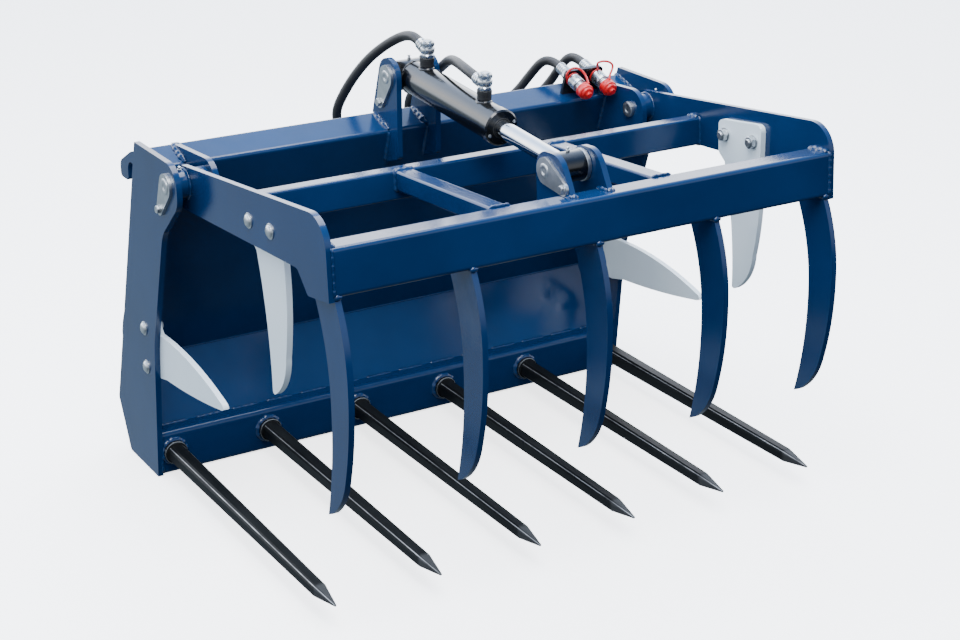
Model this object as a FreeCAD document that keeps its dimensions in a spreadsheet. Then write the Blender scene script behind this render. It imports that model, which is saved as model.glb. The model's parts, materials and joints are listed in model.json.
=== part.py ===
import FreeCAD, Part
import math
import os
import re

import Sketcher

# Manure grapple: a fork frame with six forged lower tines and a hinged upper jaw with
# five curved tines, worked by one hydraulic cylinder.
# Axes: X across, front at -Y, Z up. The origin is on the ground face of the bottom beam,
# under the middle of its section and of its width. Lengths in mm, angles in degrees.

doc = FreeCAD.newDocument("ManureGrapple")
sheet = doc.addObject("Spreadsheet::Sheet", "Sizes")

SIZES = {
    # frame
    "overall_width": 1200, "plate_height": 750, "side_plate": 12, "lean": 17.9,
    "rear_top_y": -44, "lobe_radius": 49, "lobe_drop": 31, "lobe_under": 45,
    "neck_y": -167, "neck_drop": 163, "neck_round": 80, "bend_y": -80, "bend_drop": 434,
    "bend_round": 200, "heel_y": 109, "knee_z": 110, "corner_round": 10,
    "bottom_width": 100, "bottom_wall": 8, "bottom_round": 12,
    "rear_depth": 80, "rear_height": 100, "rear_drop": 16, "rear_wall": 5, "rear_round": 8,
    "panel_plate": 5, "panel_inset": 19, "panel_tail": 14, "fold_z": 220, "apron_foot_y": -10,
    # jaw hinge
    "pivot_y": -210, "hinge_pin": 17.5, "pin_play": 0.06, "side_play": 0.3,
    "arm_side_gap": 25, "ear_side_gap": 32, "ear_plate": 12, "bush_wall": 12,
    "pin_inner_end": 7, "ear_foot": 10, "ear_under": 40,
    # keepers and their bolts
    "keeper_plate": 6, "keeper_round": 26, "keeper_tail": 13, "keeper_reach": 66,
    "keeper_bolt": 5, "keeper_head": 9, "keeper_head_height": 7,
    "hinge_keeper_angle": -57.5, "rear_keeper_angle": -65, "front_keeper_angle": 201,
    # lower tines
    "tine_edge": 28, "tine_z": 53, "tine_reach": 767, "tine_root": 38, "tine_shoulder": 27,
    "tine_point": 4, "tine_head": 68, "tine_bevel": 0.22, "cone_front": 17, "cone_rear": 12.5,
    "thread_radius": 11, "thread_length": 32, "socket_radius": 26, "socket_front": 13,
    "socket_rear": 3, "cone_play": 0.1, "nut_width": 41, "nut_height": 20,
    # side blades and their bolts
    "blade_plate": 12, "blade_round": 15, "blade_seat": 10, "lower_blade_top": 365,
    "lower_blade_foot": 235, "blade_shoulder_y": 60, "blade_neck_y": 80, "blade_neck_z": 339,
    "blade_upper_y": 395, "blade_upper_z": 303, "blade_upper_round": 900, "blade_tip_y": 405,
    "blade_tip_z": 294, "blade_tip_round": 14, "blade_under_y": 392, "blade_under_z": 288,
    "blade_under_round": 30, "blade_belly_y": 110, "blade_belly_z": 247,
    "blade_belly_round": 2300, "upper_seat_rear": 280, "upper_seat_front": 423,
    "upper_seat_top": 20, "upper_seat_rise": 9, "upper_seat_low": 51, "upper_waist_y": 419,
    "upper_waist_z": 60, "upper_belly_y": 398, "upper_belly_z": 256,
    "upper_belly_round": 560, "upper_point_y": 338, "upper_point_z": 343,
    "upper_point_round": 110, "upper_tip_y": 328, "upper_tip_z": 340, "upper_tip_round": 8,
    "upper_back_y": 310, "upper_back_z": 107, "upper_back_round": 900,
    "upper_neck_y": 301, "upper_neck_z": 69,
    "blade_bolt": 8, "bolt_head": 15, "bolt_dome": 8, "bolt_crown": 17, "bolt_flat": 3,
    "bolt_nut": 24, "bolt_nut_height": 13, "bolt_end": 4, "bolt_play": 0.2,
    "lower_bolt_y": -28, "lower_bolt_top": 339, "lower_bolt_pitch": 88,
    "upper_bolt_y": -303, "upper_bolt_z": -10, "upper_bolt_pitch": 93,
    # hitch brackets
    "bracket_plate": 15, "bracket_gap": 3, "hook_throat": 22, "throat_y": 21, "throat_drop": 85,
    "hook_nose": 44, "hook_back": 46, "nose_drop": 108, "eye_radius": 13.5, "eye_out": 14,
    "eye_down": 515, "eye_wall": 25,
    # jaw frame
    "jaw_tilt": 4, "arm_plate": 12, "arm_rear": 48, "arm_low": 54, "arm_top_rear": 34,
    "arm_top_front": 64, "arm_rear_round": 42, "arm_nose_round": 59, "arm_toe": 96,
    "arm_toe_length": 83, "arm_heel": 121, "bar_top": 7, "front_reach": 621,
    "front_depth": 60, "front_height": 90, "front_wall": 5, "front_round": 8,
    "mid_reach": 200, "mid_depth": 40, "mid_height": 60, "mid_wall": 4, "mid_round": 5,
    "strut_x": 181, "strut_width": 40, "strut_height": 40,
    # upper tines
    "claw_plate": 12, "claw_bulge": 28, "claw_bulge_z": 230, "claw_upper_round": 353,
    "claw_front_round": 612, "claw_turn": 7, "claw_turn_z": 434, "claw_tip_round": 148,
    "claw_tip": 68, "claw_tip_z": 510, "claw_end": 83, "claw_end_z": 516,
    "claw_back": 43, "claw_back_z": 270, "claw_lower_round": 776, "claw_root_round": 408,
    "claw_root": 81, "claw_root_z": 98, "claw_lip": 25, "claw_lip_height": 38,
    # cylinder
    "rear_ear_height": 93, "rear_ear_inner": 41, "rear_ear_drop": 191, "rear_ear_foot": 79,
    "cylinder_pin": 15, "front_pin_inset": 106, "front_pin_height": 44, "front_ear_inner": 35,
    "front_ear_radius": 36, "front_ear_back": 50, "front_ear_fin": 45, "front_ear_toe": 24,
    "barrel_radius": 36, "barrel_wall": 6, "barrel_start": 24, "plug_end": 46,
    "barrel_end": 350, "gland_end": 376, "gland_radius": 37.5, "gland_spigot": 20,
    "rear_eye_radius": 32, "rear_eye_width": 76, "rod_radius": 18, "rod_eye_radius": 30,
    "rod_eye_width": 66, "washer_radius": 27, "washer_plate": 1.3, "piston_length": 28,
    "piston_front": 287, "rod_spigot": 14, "bore_play": 0.06,
    "boss_radius": 14.5, "boss_top": 56, "boss_root": 31, "rear_port": 73, "front_port": 305,
    "collar_radius": 14.5, "collar_height": 9, "nut_radius": 15.5, "elbow_height": 28,
    "elbow_radius": 11.5, "ferrule_radius": 13, "elbow_reach": 45,
    # couplers
    "coupler_inset": 20, "coupler_pitch": 63, "coupler_height": 24, "coupler_radius": 13,
    "coupler_front": 98, "coupler_sleeve": 28, "cap_radius": 18, "cap_length": 29,
    "cap_knob": 7, "holder_y": 42, "holder_plate": 8, "holder_margin": 18.5,
    "holder_rise": 20, "hose_radius": 10.5,
}
LOWER_TINES = 6
UPPER_TINES = 5

for row, (alias, size) in enumerate(SIZES.items(), start=1):
    sheet.set(f"A{row}", alias)
    sheet.set(f"B{row}", str(size))
    sheet.setAlias(f"B{row}", alias)
doc.recompute()

FUNCTIONS = {"sin", "cos", "tan", "sqrt", "acos", "atan2", "hypot"}


def link(text):
    """The sheet expression for a formula written in plain size names."""
    def cell(match):
        word = match.group(0)
        return word if word in FUNCTIONS else "Sizes." + word
    return re.sub(r"[a-z][a-z_0-9]*", cell, str(text))


def size(text):
    """The present value of a formula, as a plain number."""
    result = sheet.evalExpression(link(text))
    return float(getattr(result, "Value", result))


# Formulas that several pieces share
HALF = "(overall_width / 2)"
PLATE_IN = f"({HALF} - side_plate)"
ARM_OUT = f"({PLATE_IN} - arm_side_gap)"
ARM_IN = f"({ARM_OUT} - arm_plate)"
EAR_OUT = f"({ARM_IN} - ear_side_gap)"
EAR_IN = f"({EAR_OUT} - ear_plate)"
PIVOT_Z = "(plate_height - lobe_radius)"
THROAT_Z = "(plate_height - throat_drop)"
NOSE_LOW = "(plate_height - nose_drop)"
BEAM_LOW = "(rear_drop + rear_height)"
BUSH_RADIUS = "(hinge_pin + pin_play + bush_wall)"
PIN_REACH = "(front_reach - front_pin_inset)"


def leaned(y, z):
    """A point of the leaning back, from its top rear corner, in the part's own axes."""
    return (f"(rear_top_y + ({y}) * cos(lean) - ({z}) * sin(lean))",
            f"(plate_height + ({y}) * sin(lean) + ({z}) * cos(lean))")


def in_jaw(y, z):
    """A point of the jaw, from its hinge, in the part's own axes."""
    return (f"(pivot_y + ({y}) * cos(jaw_tilt) + ({z}) * sin(jaw_tilt))",
            f"({PIVOT_Z} - ({y}) * sin(jaw_tilt) + ({z}) * cos(jaw_tilt))")


REAR_PIN = leaned("-rear_depth / 2", "rear_ear_height")
FRONT_PIN = in_jaw(f"-{PIN_REACH}", "front_pin_height")
PIN_Y = f"({REAR_PIN[0]} - {FRONT_PIN[0]})"
PIN_Z = f"({REAR_PIN[1]} - {FRONT_PIN[1]})"
PIN_SPAN = f"hypot({PIN_Y}; {PIN_Z})"

# Each frame is x, y, z and the turn about X
WORLD = ("0", "0", "0", "0")
BACK = ("0", "rear_top_y", "plate_height", "lean")
JAW = ("0", "pivot_y", PIVOT_Z, "-jaw_tilt")
CYLINDER = ("0", REAR_PIN[0], REAR_PIN[1], f"atan2({PIN_Z}; {PIN_Y})")


def place(item, frame, flip=False):
    """Puts a sub-part in a frame; a flipped one is also turned half round about Z."""
    half_turn = FreeCAD.Rotation(FreeCAD.Vector(0, 0, 1), 180)
    turn = FreeCAD.Rotation(FreeCAD.Vector(1, 0, 0), 1)
    item.Placement = FreeCAD.Placement(FreeCAD.Vector(0, 0, 0), half_turn if flip else turn)
    for axis, formula in zip("xyz", frame):
        item.setExpression(f"Placement.Base.{axis}", link(formula))
    if not flip:
        item.setExpression("Placement.Rotation.Angle", link(frame[3]))


def new_body(label, frame, flip=False):
    body = doc.addObject("PartDesign::Body", label)
    body.Label = label
    place(body, frame, flip)
    return body


def arc_between(start, end, radius, side):
    """The short arc from start to end; side is +1 where its centre lies to the left."""
    chord = end - start
    left = FreeCAD.Vector(-chord.y, chord.x, 0).normalize()
    rise = math.sqrt(max(radius ** 2 - (chord.Length / 2) ** 2, 0))
    centre = (start + end) / 2 + left * rise * side
    first, last = (start, end) if side > 0 else (end, start)
    angles = [math.atan2(p.y - centre.y, p.x - centre.x) for p in (first, last)]
    if angles[1] < angles[0]:
        angles[1] += 2 * math.pi
    return Part.ArcOfCircle(Part.Circle(centre, FreeCAD.Vector(0, 0, 1), radius), *angles)


def add_outline(sketch, points):
    """A closed outline. A point is (h, v), or (h, v, radius, side) at the end of an arc."""
    first = sketch.GeometryCount
    spots = [FreeCAD.Vector(size(point[0]), size(point[1]), 0) for point in points]
    ends = []
    pieces = []
    for index, point in enumerate(points):
        start, end = spots[index - 1], spots[index]
        if len(point) == 4:
            pieces.append(arc_between(start, end, size(point[2]), point[3]))
            ends.append((1, 2) if point[3] > 0 else (2, 1))
        else:
            pieces.append(Part.LineSegment(start, end))
            ends.append((1, 2))
    sketch.addGeometry(pieces)
    formulas = []
    for index, point in enumerate(points):
        here, after = first + index, first + (index + 1) % len(points)
        end, start = ends[index][1], ends[(index + 1) % len(points)][0]
        sketch.addConstraint(Sketcher.Constraint("Coincident", here, end, after, start))
        for kind, formula, spot in (("DistanceX", point[0], spots[index].x),
                                    ("DistanceY", point[1], spots[index].y)):
            number = sketch.addConstraint(Sketcher.Constraint(kind, here, end, spot))
            formulas.append((number, formula))
        if len(point) == 4:
            radius = Sketcher.Constraint("Radius", here, size(point[2]))
            formulas.append((sketch.addConstraint(radius), point[2]))
    for number, formula in formulas:
        sketch.setExpression(f"Constraints[{number}]", link(formula))


def add_circle(sketch, h, v, radius):
    centre = FreeCAD.Vector(size(h), size(v), 0)
    circle = Part.Circle(centre, FreeCAD.Vector(0, 0, 1), size(radius))
    number = sketch.addGeometry(circle)
    for constraint, formula in (
            (Sketcher.Constraint("DistanceX", number, 3, centre.x), h),
            (Sketcher.Constraint("DistanceY", number, 3, centre.y), v),
            (Sketcher.Constraint("Radius", number, size(radius)), radius)):
        sketch.setExpression(f"Constraints[{sketch.addConstraint(constraint)}]", link(formula))


def new_sketch(body, role, shift="0"):
    """A sketch on one of the body's own planes, moved along that plane's normal."""
    sketch = body.newObject("Sketcher::SketchObject", body.Label + "_sketch")
    plane = next(item for item in body.Origin.OriginFeatures if item.Role == role)
    sketch.AttachmentSupport = (plane, "")
    sketch.MapMode = "FlatFace"
    sketch.setExpression("AttachmentOffset.Base.z", link(shift))
    return sketch


def pad(body, sketch, length):
    feature = body.newObject("PartDesign::Pad", body.Label + "_pad")
    feature.Profile = sketch
    feature.setExpression("Length", link(length))
    sketch.Visibility = False
    doc.recompute()
    return feature


def cut_round(body, role, circles, length):
    """Round holes both ways from one of the body's planes; they must take metal away."""
    before = body.Shape.Volume
    sketch = new_sketch(body, role)
    for h, v, radius in circles:
        add_circle(sketch, h, v, radius)
    feature = body.newObject("PartDesign::Pocket", body.Label + "_holes")
    feature.Profile = sketch
    feature.Midplane = True
    feature.setExpression("Length", link(length))
    doc.recompute()
    if not body.Shape.Volume < before:
        raise RuntimeError(f"{body.Label}: its holes cut nothing")


def round_corners(body, along, corners):
    """Fillets on the straight edges that run along one axis through the given corners."""
    across = {"x": ("y", "z"), "y": ("x", "z"), "z": ("x", "y")}[along]
    by_radius = {}
    for h, v, radius in corners:
        by_radius.setdefault(radius, []).append((size(h), size(v)))
    for radius, spots in by_radius.items():
        names = []
        base = body.Tip
        local = base.Shape
        for number, edge in enumerate(local.Edges, start=1):
            low, high = edge.Vertexes[0].Point, edge.Vertexes[-1].Point
            straight = all(abs(getattr(low, a) - getattr(high, a)) < 1e-4 for a in across)
            near = any(math.hypot(getattr(low, across[0]) - h, getattr(low, across[1]) - v)
                       < 1e-3 for h, v in spots)
            if straight and near:
                names.append(f"Edge{number}")
        fillet = body.newObject("PartDesign::Fillet", body.Label + "_fillet")
        fillet.Base = (base, names)
        fillet.setExpression("Radius", link(radius))
        doc.recompute()


def plate(label, outline, start, thickness, frame=WORLD, holes=(), rounds=()):
    """A flat plate that lies across X, from start to start + thickness."""
    body = new_body(label, frame)
    sketch = new_sketch(body, "YZ_Plane", start)
    add_outline(sketch, outline)
    for hole in holes:
        add_circle(sketch, *hole)
    pad(body, sketch, thickness)
    if rounds:
        round_corners(body, "x", rounds)
    return body


def box_tube(label, low, high, wall, corner, role, start, length, frame):
    """A box section. low and high are opposite corners of its outside."""
    inner_round = f"({corner} - {wall} * 0.75)"
    body = new_body(label, frame)
    sketch = new_sketch(body, role, start)
    rounds = []
    for inset, radius in (("0", corner), (wall, inner_round)):
        left, right = f"({low[0]} + {inset})", f"({high[0]} - {inset})"
        foot, top = f"({low[1]} + {inset})", f"({high[1]} - {inset})"
        corners = [(left, foot), (right, foot), (right, top), (left, top)]
        add_outline(sketch, corners)
        rounds += [(h, v, radius) for h, v in corners]
    pad(body, sketch, length)
    round_corners(body, "x" if role == "YZ_Plane" else "y", rounds)
    return body


def turned(label, axis, profile, frame, flip=False):
    """A round piece about X, from (x, radius) points, or about Y, from (radius, y) points."""
    body = new_body(label, frame, flip)
    sketch = new_sketch(body, "XY_Plane")
    add_outline(sketch, profile)
    feature = body.newObject("PartDesign::Revolution", label + "_turned")
    feature.Profile = sketch
    feature.ReferenceAxis = (sketch, ["H_Axis" if axis == "x" else "V_Axis"])
    feature.Angle = 360
    sketch.Visibility = False
    return body


def ring(start, end, inner, outer):
    """Profile of a plain round tube about X."""
    return [(start, inner), (end, inner), (end, outer), (start, outer)]


def group(label, members):
    """Alike pieces that share one name."""
    compound = doc.addObject("Part::Compound", label)
    compound.Label = label
    compound.Links = members
    return compound


def sided(side, near, thickness):
    """Where a plate starts on X, its inner face being near from the middle."""
    return near if side > 0 else f"(-{near} - {thickness})"


SIDES = {"left": -1, "right": 1}
nodes = []


def keep(item):
    nodes.append(item)
    return item


# Side plates
def side_plate(name, side):
    outline = [("rear_top_y", "plate_height"),
               ("pivot_y - lobe_radius", "plate_height"),
               ("pivot_y - lobe_radius", f"{PIVOT_Z} - lobe_drop"),
               ("neck_y", "(plate_height - neck_drop)"), ("bend_y", "(plate_height - bend_drop)"),
               ("-bottom_width / 2", "0"), ("heel_y", "0"),
               ("rear_top_y + (plate_height - knee_z) * tan(lean)", "knee_z")]
    radii = [None, "lobe_radius", "lobe_under", "neck_round", "bend_round",
             None, "corner_round", "corner_round"]
    rounds = [(h, v, r) for (h, v), r in zip(outline, radii) if r]
    holes = [("pivot_y", PIVOT_Z, "hinge_pin + pin_play"),
             ("lower_bolt_y", "lower_bolt_top", "blade_bolt + bolt_play"),
             ("lower_bolt_y", "lower_bolt_top - lower_bolt_pitch", "blade_bolt + bolt_play")]
    keep(plate("side_plate_" + name, outline, sided(side, PLATE_IN, "side_plate"),
               "side_plate", holes=holes, rounds=rounds))


# Cross members of the frame
def cross_members():
    keep(box_tube("rear_beam", ("-rear_depth", f"-{BEAM_LOW}"), ("0", "-rear_drop"),
                  "rear_wall", "rear_round", "YZ_Plane", f"-{PLATE_IN}", f"2 * {PLATE_IN}",
                  BACK))
    beam = box_tube("bottom_beam", ("-bottom_width / 2", "0"),
                    ("bottom_width / 2", "bottom_width"), "bottom_wall", "bottom_round",
                    "YZ_Plane", f"-{PLATE_IN}", f"2 * {PLATE_IN}", WORLD)
    seats = [(tine_x(number), "tine_z", "socket_radius") for number in range(LOWER_TINES)]
    cut_round(beam, "XZ_Plane", seats, "2 * bottom_width")
    keep(beam)


def tine_x(number):
    """Evenly spaced between the outermost tines, which stand off the side plates."""
    return f"({number * 2 / (LOWER_TINES - 1) - 1} * ({PLATE_IN} - tine_edge))"


# Back panel, with the apron that runs forward from it to the bottom beam
PANEL_FRONT = "(panel_inset + panel_plate)"


def panel_y(z):
    """The front of the panel at a height."""
    return f"(rear_top_y + (plate_height - ({z})) * tan(lean) - {PANEL_FRONT} / cos(lean))"


def back_panels():
    low = f"((fold_z - plate_height + {PANEL_FRONT} * sin(lean)) / cos(lean) - panel_tail)"
    corners = [(f"-{PANEL_FRONT}", low), ("-panel_inset", low),
               ("-panel_inset", f"-{BEAM_LOW}"), (f"-{PANEL_FRONT}", f"-{BEAM_LOW}")]
    keep(plate("back_panel", corners, f"-{PLATE_IN}", f"2 * {PLATE_IN}", BACK))
    run = f"({panel_y('fold_z')} - apron_foot_y)"
    rise = "(fold_z - bottom_width)"
    thick = f"(panel_plate * hypot({run}; {rise}) / {rise})"
    meet = f"(fold_z - {thick} / ({run} / {rise} + tan(lean)))"
    quad = [("apron_foot_y", "bottom_width"), (f"apron_foot_y + {thick}", "bottom_width"),
            (panel_y(meet), meet), (panel_y("fold_z"), "fold_z")]
    keep(plate("lower_apron", quad, f"-{PLATE_IN}", f"2 * {PLATE_IN}"))


# Inner hinge ears, welded over the rear beam
def hinge_ear(name, side):
    foot = leaned("-rear_depth", f"-{BEAM_LOW} + ear_foot")
    low = (foot[0], foot[1])
    outline = [leaned("0", "-rear_drop"), ("pivot_y - lobe_radius", "plate_height"),
               ("pivot_y - lobe_radius", f"{PIVOT_Z} - lobe_radius"), low,
               leaned("-rear_depth", "-rear_drop")]
    rounds = [(*outline[1], "lobe_radius - 1"), (*outline[2], "ear_under")]
    keep(plate("hinge_ear_" + name, outline, sided(side, EAR_IN, "ear_plate"), "ear_plate",
               holes=[("pivot_y", PIVOT_Z, "hinge_pin + pin_play")], rounds=rounds))


# Lower tines in their conical sockets, drawn tight by nuts behind the beam
SOCKET_FRONT = "(-bottom_width / 2 - socket_front)"
SOCKET_REAR = "(bottom_width / 2 + socket_rear)"


def section(body, width, shift):
    """A square section with bevelled corners, across Y."""
    sketch = new_sketch(body, "XZ_Plane", shift)
    half, cut = f"({width} / 2)", f"({width} * tine_bevel)"
    flat = f"({half} - {cut})"
    add_outline(sketch, [(flat, f"-{half}"), (half, f"-{flat}"), (half, flat), (flat, half),
                         (f"-{flat}", half), (f"-{half}", flat), (f"-{half}", f"-{flat}"),
                         (f"-{flat}", f"-{half}")])
    return sketch


def lower_tine(number):
    label = f"lower_tine_{number + 1}"
    frame = (tine_x(number), "0", "tine_z", "0")
    shank = [("0", SOCKET_FRONT), ("cone_front", SOCKET_FRONT), ("cone_rear", SOCKET_REAR),
             ("thread_radius", SOCKET_REAR), ("thread_radius", f"{SOCKET_REAR} + thread_length"),
             ("0", f"{SOCKET_REAR} + thread_length")]
    body = turned(label, "y", shank, frame)
    tip = "(bottom_width / 2 + tine_reach)"
    stations = [("tine_root", f"-{SOCKET_FRONT}"), ("tine_shoulder", f"({tip} - tine_head)"),
                ("tine_point", tip)]
    for near, far in zip(stations, stations[1:]):
        loft = body.newObject("PartDesign::AdditiveLoft", label + "_loft")
        loft.Profile = section(body, *near)
        loft.Sections = [section(body, *far)]
        loft.Ruled = True
    keep(body)


def tine_seats():
    sockets, nuts = [], []
    bore_front, bore_rear = "(cone_front + cone_play)", "(cone_rear + cone_play)"
    for number in range(LOWER_TINES):
        frame = (tine_x(number), "0", "tine_z", "0")
        profile = [(bore_front, SOCKET_FRONT), ("socket_radius", SOCKET_FRONT),
                   ("socket_radius", SOCKET_REAR), (bore_rear, SOCKET_REAR)]
        sockets.append(turned(f"socket_{number + 1}", "y", profile, frame))
        nuts.append(hexagon(f"tine_nut_{number + 1}", "XZ_Plane", "nut_width",
                            "(thread_radius + cone_play)", f"(-{SOCKET_REAR} - nut_height)",
                            "nut_height", frame))
    keep(group("tine_sockets", sockets))
    keep(group("tine_nuts", nuts))


def hexagon(label, role, width, bore, start, height, frame):
    """A hexagon nut by its width across flats."""
    body = new_body(label, frame)
    sketch = new_sketch(body, role, start)
    corner = f"({width} / sqrt(3))"
    add_outline(sketch, [(f"{corner} * cos({turn})", f"{corner} * sin({turn})")
                         for turn in range(0, 360, 60)])
    add_circle(sketch, "0", "0", bore)
    pad(body, sketch, height)
    return body


# Cylinder ears on the rear beam
def rear_ear(name, side):
    top = "(rear_ear_height + rear_depth / 2)"
    front = "(-rear_depth / 2 - rear_depth / 2 * tan((90 - lean) / 2))"
    outline = [("0", "-rear_drop"), ("0", top), (front, top),
               (f"({front} - rear_ear_drop * tan(lean))", f"({top} - rear_ear_drop)"),
               ("-rear_depth", "(-rear_drop - rear_ear_foot)"), ("-rear_depth", "-rear_drop")]
    rounds = [(*outline[1], "(rear_depth / 2 - 0.5)"), (*outline[2], "(rear_depth / 2 - 0.5)"),
              (*outline[3], "corner_round")]
    keep(plate("rear_cylinder_ear_" + name, outline, sided(side, "rear_ear_inner", "ear_plate"),
               "ear_plate", BACK, rounds=rounds,
               holes=[("-rear_depth / 2", "rear_ear_height", "cylinder_pin + pin_play")]))


# Pin keepers: a drop-shaped flag round each pin, held by one bolt
def keeper(label, outer, side, pin, frame):
    slope = "acos((keeper_round - keeper_tail) / keeper_reach)"
    near_h, near_v = f"keeper_round * cos({slope})", f"keeper_round * sin({slope})"
    far_h = f"(keeper_reach + keeper_tail * cos({slope}))"
    far_v = f"keeper_tail * sin({slope})"
    outline = [(near_h, near_v, "keeper_round", -1), (far_h, far_v),
               ("keeper_reach + keeper_tail", "0", "keeper_tail", -1),
               (far_h, f"-{far_v}", "keeper_tail", -1), (near_h, f"-{near_v}"),
               ("0", "-keeper_round", "keeper_round", -1),
               ("-keeper_round", "0", "keeper_round", -1),
               ("0", "keeper_round", "keeper_round", -1)]
    holes = [("0", "0", f"{pin} + pin_play"), ("keeper_reach", "0", "keeper_bolt + bolt_play")]
    return plate(label, outline, sided(side, outer, "keeper_plate"), "keeper_plate", frame,
                 holes=holes)


def keeper_bolt(label, outer, side, frame):
    """A small bolt through the tail of a keeper into the plate behind it."""
    angle = frame[3]
    spot = ("0", f"({frame[1]} + keeper_reach * cos({angle}))",
            f"({frame[2]} + keeper_reach * sin({angle}))", "0")
    face = f"({outer} + keeper_plate)"
    profile = [(outer, "0"), (outer, "keeper_bolt"), (face, "keeper_bolt"),
               (face, "keeper_head"), (f"({face} + keeper_head_height)", "keeper_head"),
               (f"({face} + keeper_head_height)", "0")]
    return turned(label, "x", profile, spot, flip=side < 0)


def pivot_frame(pin, angle):
    return ("0", pin[0], pin[1], angle)


def pins_and_keepers():
    hinge = ("pivot_y", PIVOT_Z)
    at_hinge = pivot_frame(hinge, "hinge_keeper_angle")
    at_rear = pivot_frame(REAR_PIN, "rear_keeper_angle")
    rear_outer = "(rear_ear_inner + ear_plate)"
    pins, keepers, bolts = [], [], []
    for name, side in SIDES.items():
        profile = [(f"({EAR_IN} - pin_inner_end)", "0"), (f"({EAR_IN} - pin_inner_end)", "hinge_pin"),
                   (f"({HALF} + keeper_plate)", "hinge_pin"), (f"({HALF} + keeper_plate)", "0")]
        pins.append(turned("hinge_pin_" + name, "x", profile, pivot_frame(hinge, "0"), side < 0))
        keepers.append(keeper("hinge_keeper_" + name, HALF, side, "hinge_pin", at_hinge))
        bolts.append(keeper_bolt("hinge_keeper_bolt_" + name, HALF, side, at_hinge))
    keepers.append(keeper("rear_keeper", rear_outer, -1, "cylinder_pin", at_rear))
    bolts.append(keeper_bolt("rear_keeper_bolt", rear_outer, -1, at_rear))
    rear_end = f"({rear_outer} + keeper_plate)"
    keep(turned("rear_cylinder_pin", "x", [(f"-{rear_end}", "0"), (rear_end, "0"),
                                           (rear_end, "cylinder_pin"),
                                           (f"-{rear_end}", "cylinder_pin")],
                pivot_frame(REAR_PIN, "0")))
    keep(group("hinge_pins", pins))
    keep(group("pin_keepers", keepers))
    keep(group("keeper_bolts", bolts))


# Side blades and the bolts that hold them
def blade_bolts(label, outer, inner, spots, frame_of):
    """Round-headed bolts from outside, with hexagon nuts inside, on both sides."""
    pieces = []
    shank = f"({inner} - bolt_nut_height - bolt_end)"
    for name, side in SIDES.items():
        for number, spot in enumerate(spots, start=1):
            tag = f"{label}_{name}_{number}"
            y, z = frame_of(*spot)
            profile = [(shank, "0"), (f"({outer} + bolt_dome)", "0"),
                       (f"({outer} + bolt_dome)", "bolt_flat"),
                       (outer, "bolt_head", "bolt_crown", 1),
                       (outer, "blade_bolt"), (shank, "blade_bolt")]
            pieces.append(turned(tag, "x", profile, ("0", y, z, "0"), side < 0))
            start = f"({inner} - bolt_nut_height)" if side > 0 else f"-{inner}"
            pieces.append(hexagon(tag + "_nut", "YZ_Plane", "bolt_nut",
                                  "(blade_bolt + bolt_play)", start, "bolt_nut_height",
                                  ("0", y, z, "0")))
    return keep(group(label, pieces))


def lower_blade(name, side):
    outline = [("blade_seat", "lower_blade_top"), ("-blade_shoulder_y", "lower_blade_top"),
               ("-blade_neck_y", "blade_neck_z"),
               ("-blade_upper_y", "blade_upper_z", "blade_upper_round", 1),
               ("-blade_tip_y", "blade_tip_z", "blade_tip_round", 1),
               ("-blade_under_y", "blade_under_z", "blade_under_round", 1),
               ("-blade_belly_y", "blade_belly_z", "blade_belly_round", 1),
               ("-blade_shoulder_y", "lower_blade_foot"), ("blade_seat", "lower_blade_foot")]
    rounds = [(*outline[0], "blade_round"), (*outline[1], "blade_round"),
              (*outline[8], "blade_round")]
    holes = [("lower_bolt_y", "lower_bolt_top", "blade_bolt + bolt_play"),
             ("lower_bolt_y", "lower_bolt_top - lower_bolt_pitch", "blade_bolt + bolt_play")]
    near = f"({PLATE_IN} - blade_plate)"
    keep(plate("lower_blade_" + name, outline, sided(side, near, "blade_plate"), "blade_plate",
               holes=holes, rounds=rounds))


def upper_blade(name, side):
    outline = [("-upper_seat_rear", "upper_seat_top"),
               ("-upper_seat_front", "(upper_seat_top + upper_seat_rise)"),
               ("-upper_waist_y", "-upper_waist_z"),
               ("-upper_belly_y", "-upper_belly_z", "upper_belly_round", 1),
               ("-upper_point_y", "-upper_point_z", "upper_point_round", 1),
               ("-upper_tip_y", "-upper_tip_z", "upper_tip_round", 1),
               ("-upper_back_y", "-upper_back_z", "upper_back_round", -1),
               ("-upper_neck_y", "-upper_neck_z"), ("-upper_seat_rear", "-upper_seat_low")]
    rounds = [(*outline[0], "blade_round"), (*outline[1], "blade_round"),
              (*outline[8], "blade_round - 5")]
    holes = [("upper_bolt_y", "upper_bolt_z", "blade_bolt + bolt_play"),
             ("upper_bolt_y - upper_bolt_pitch", "upper_bolt_z", "blade_bolt + bolt_play")]
    near = f"({ARM_IN} - blade_plate)"
    keep(plate("upper_blade_" + name, outline, sided(side, near, "blade_plate"), "blade_plate",
               JAW, holes=holes, rounds=rounds))


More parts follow.
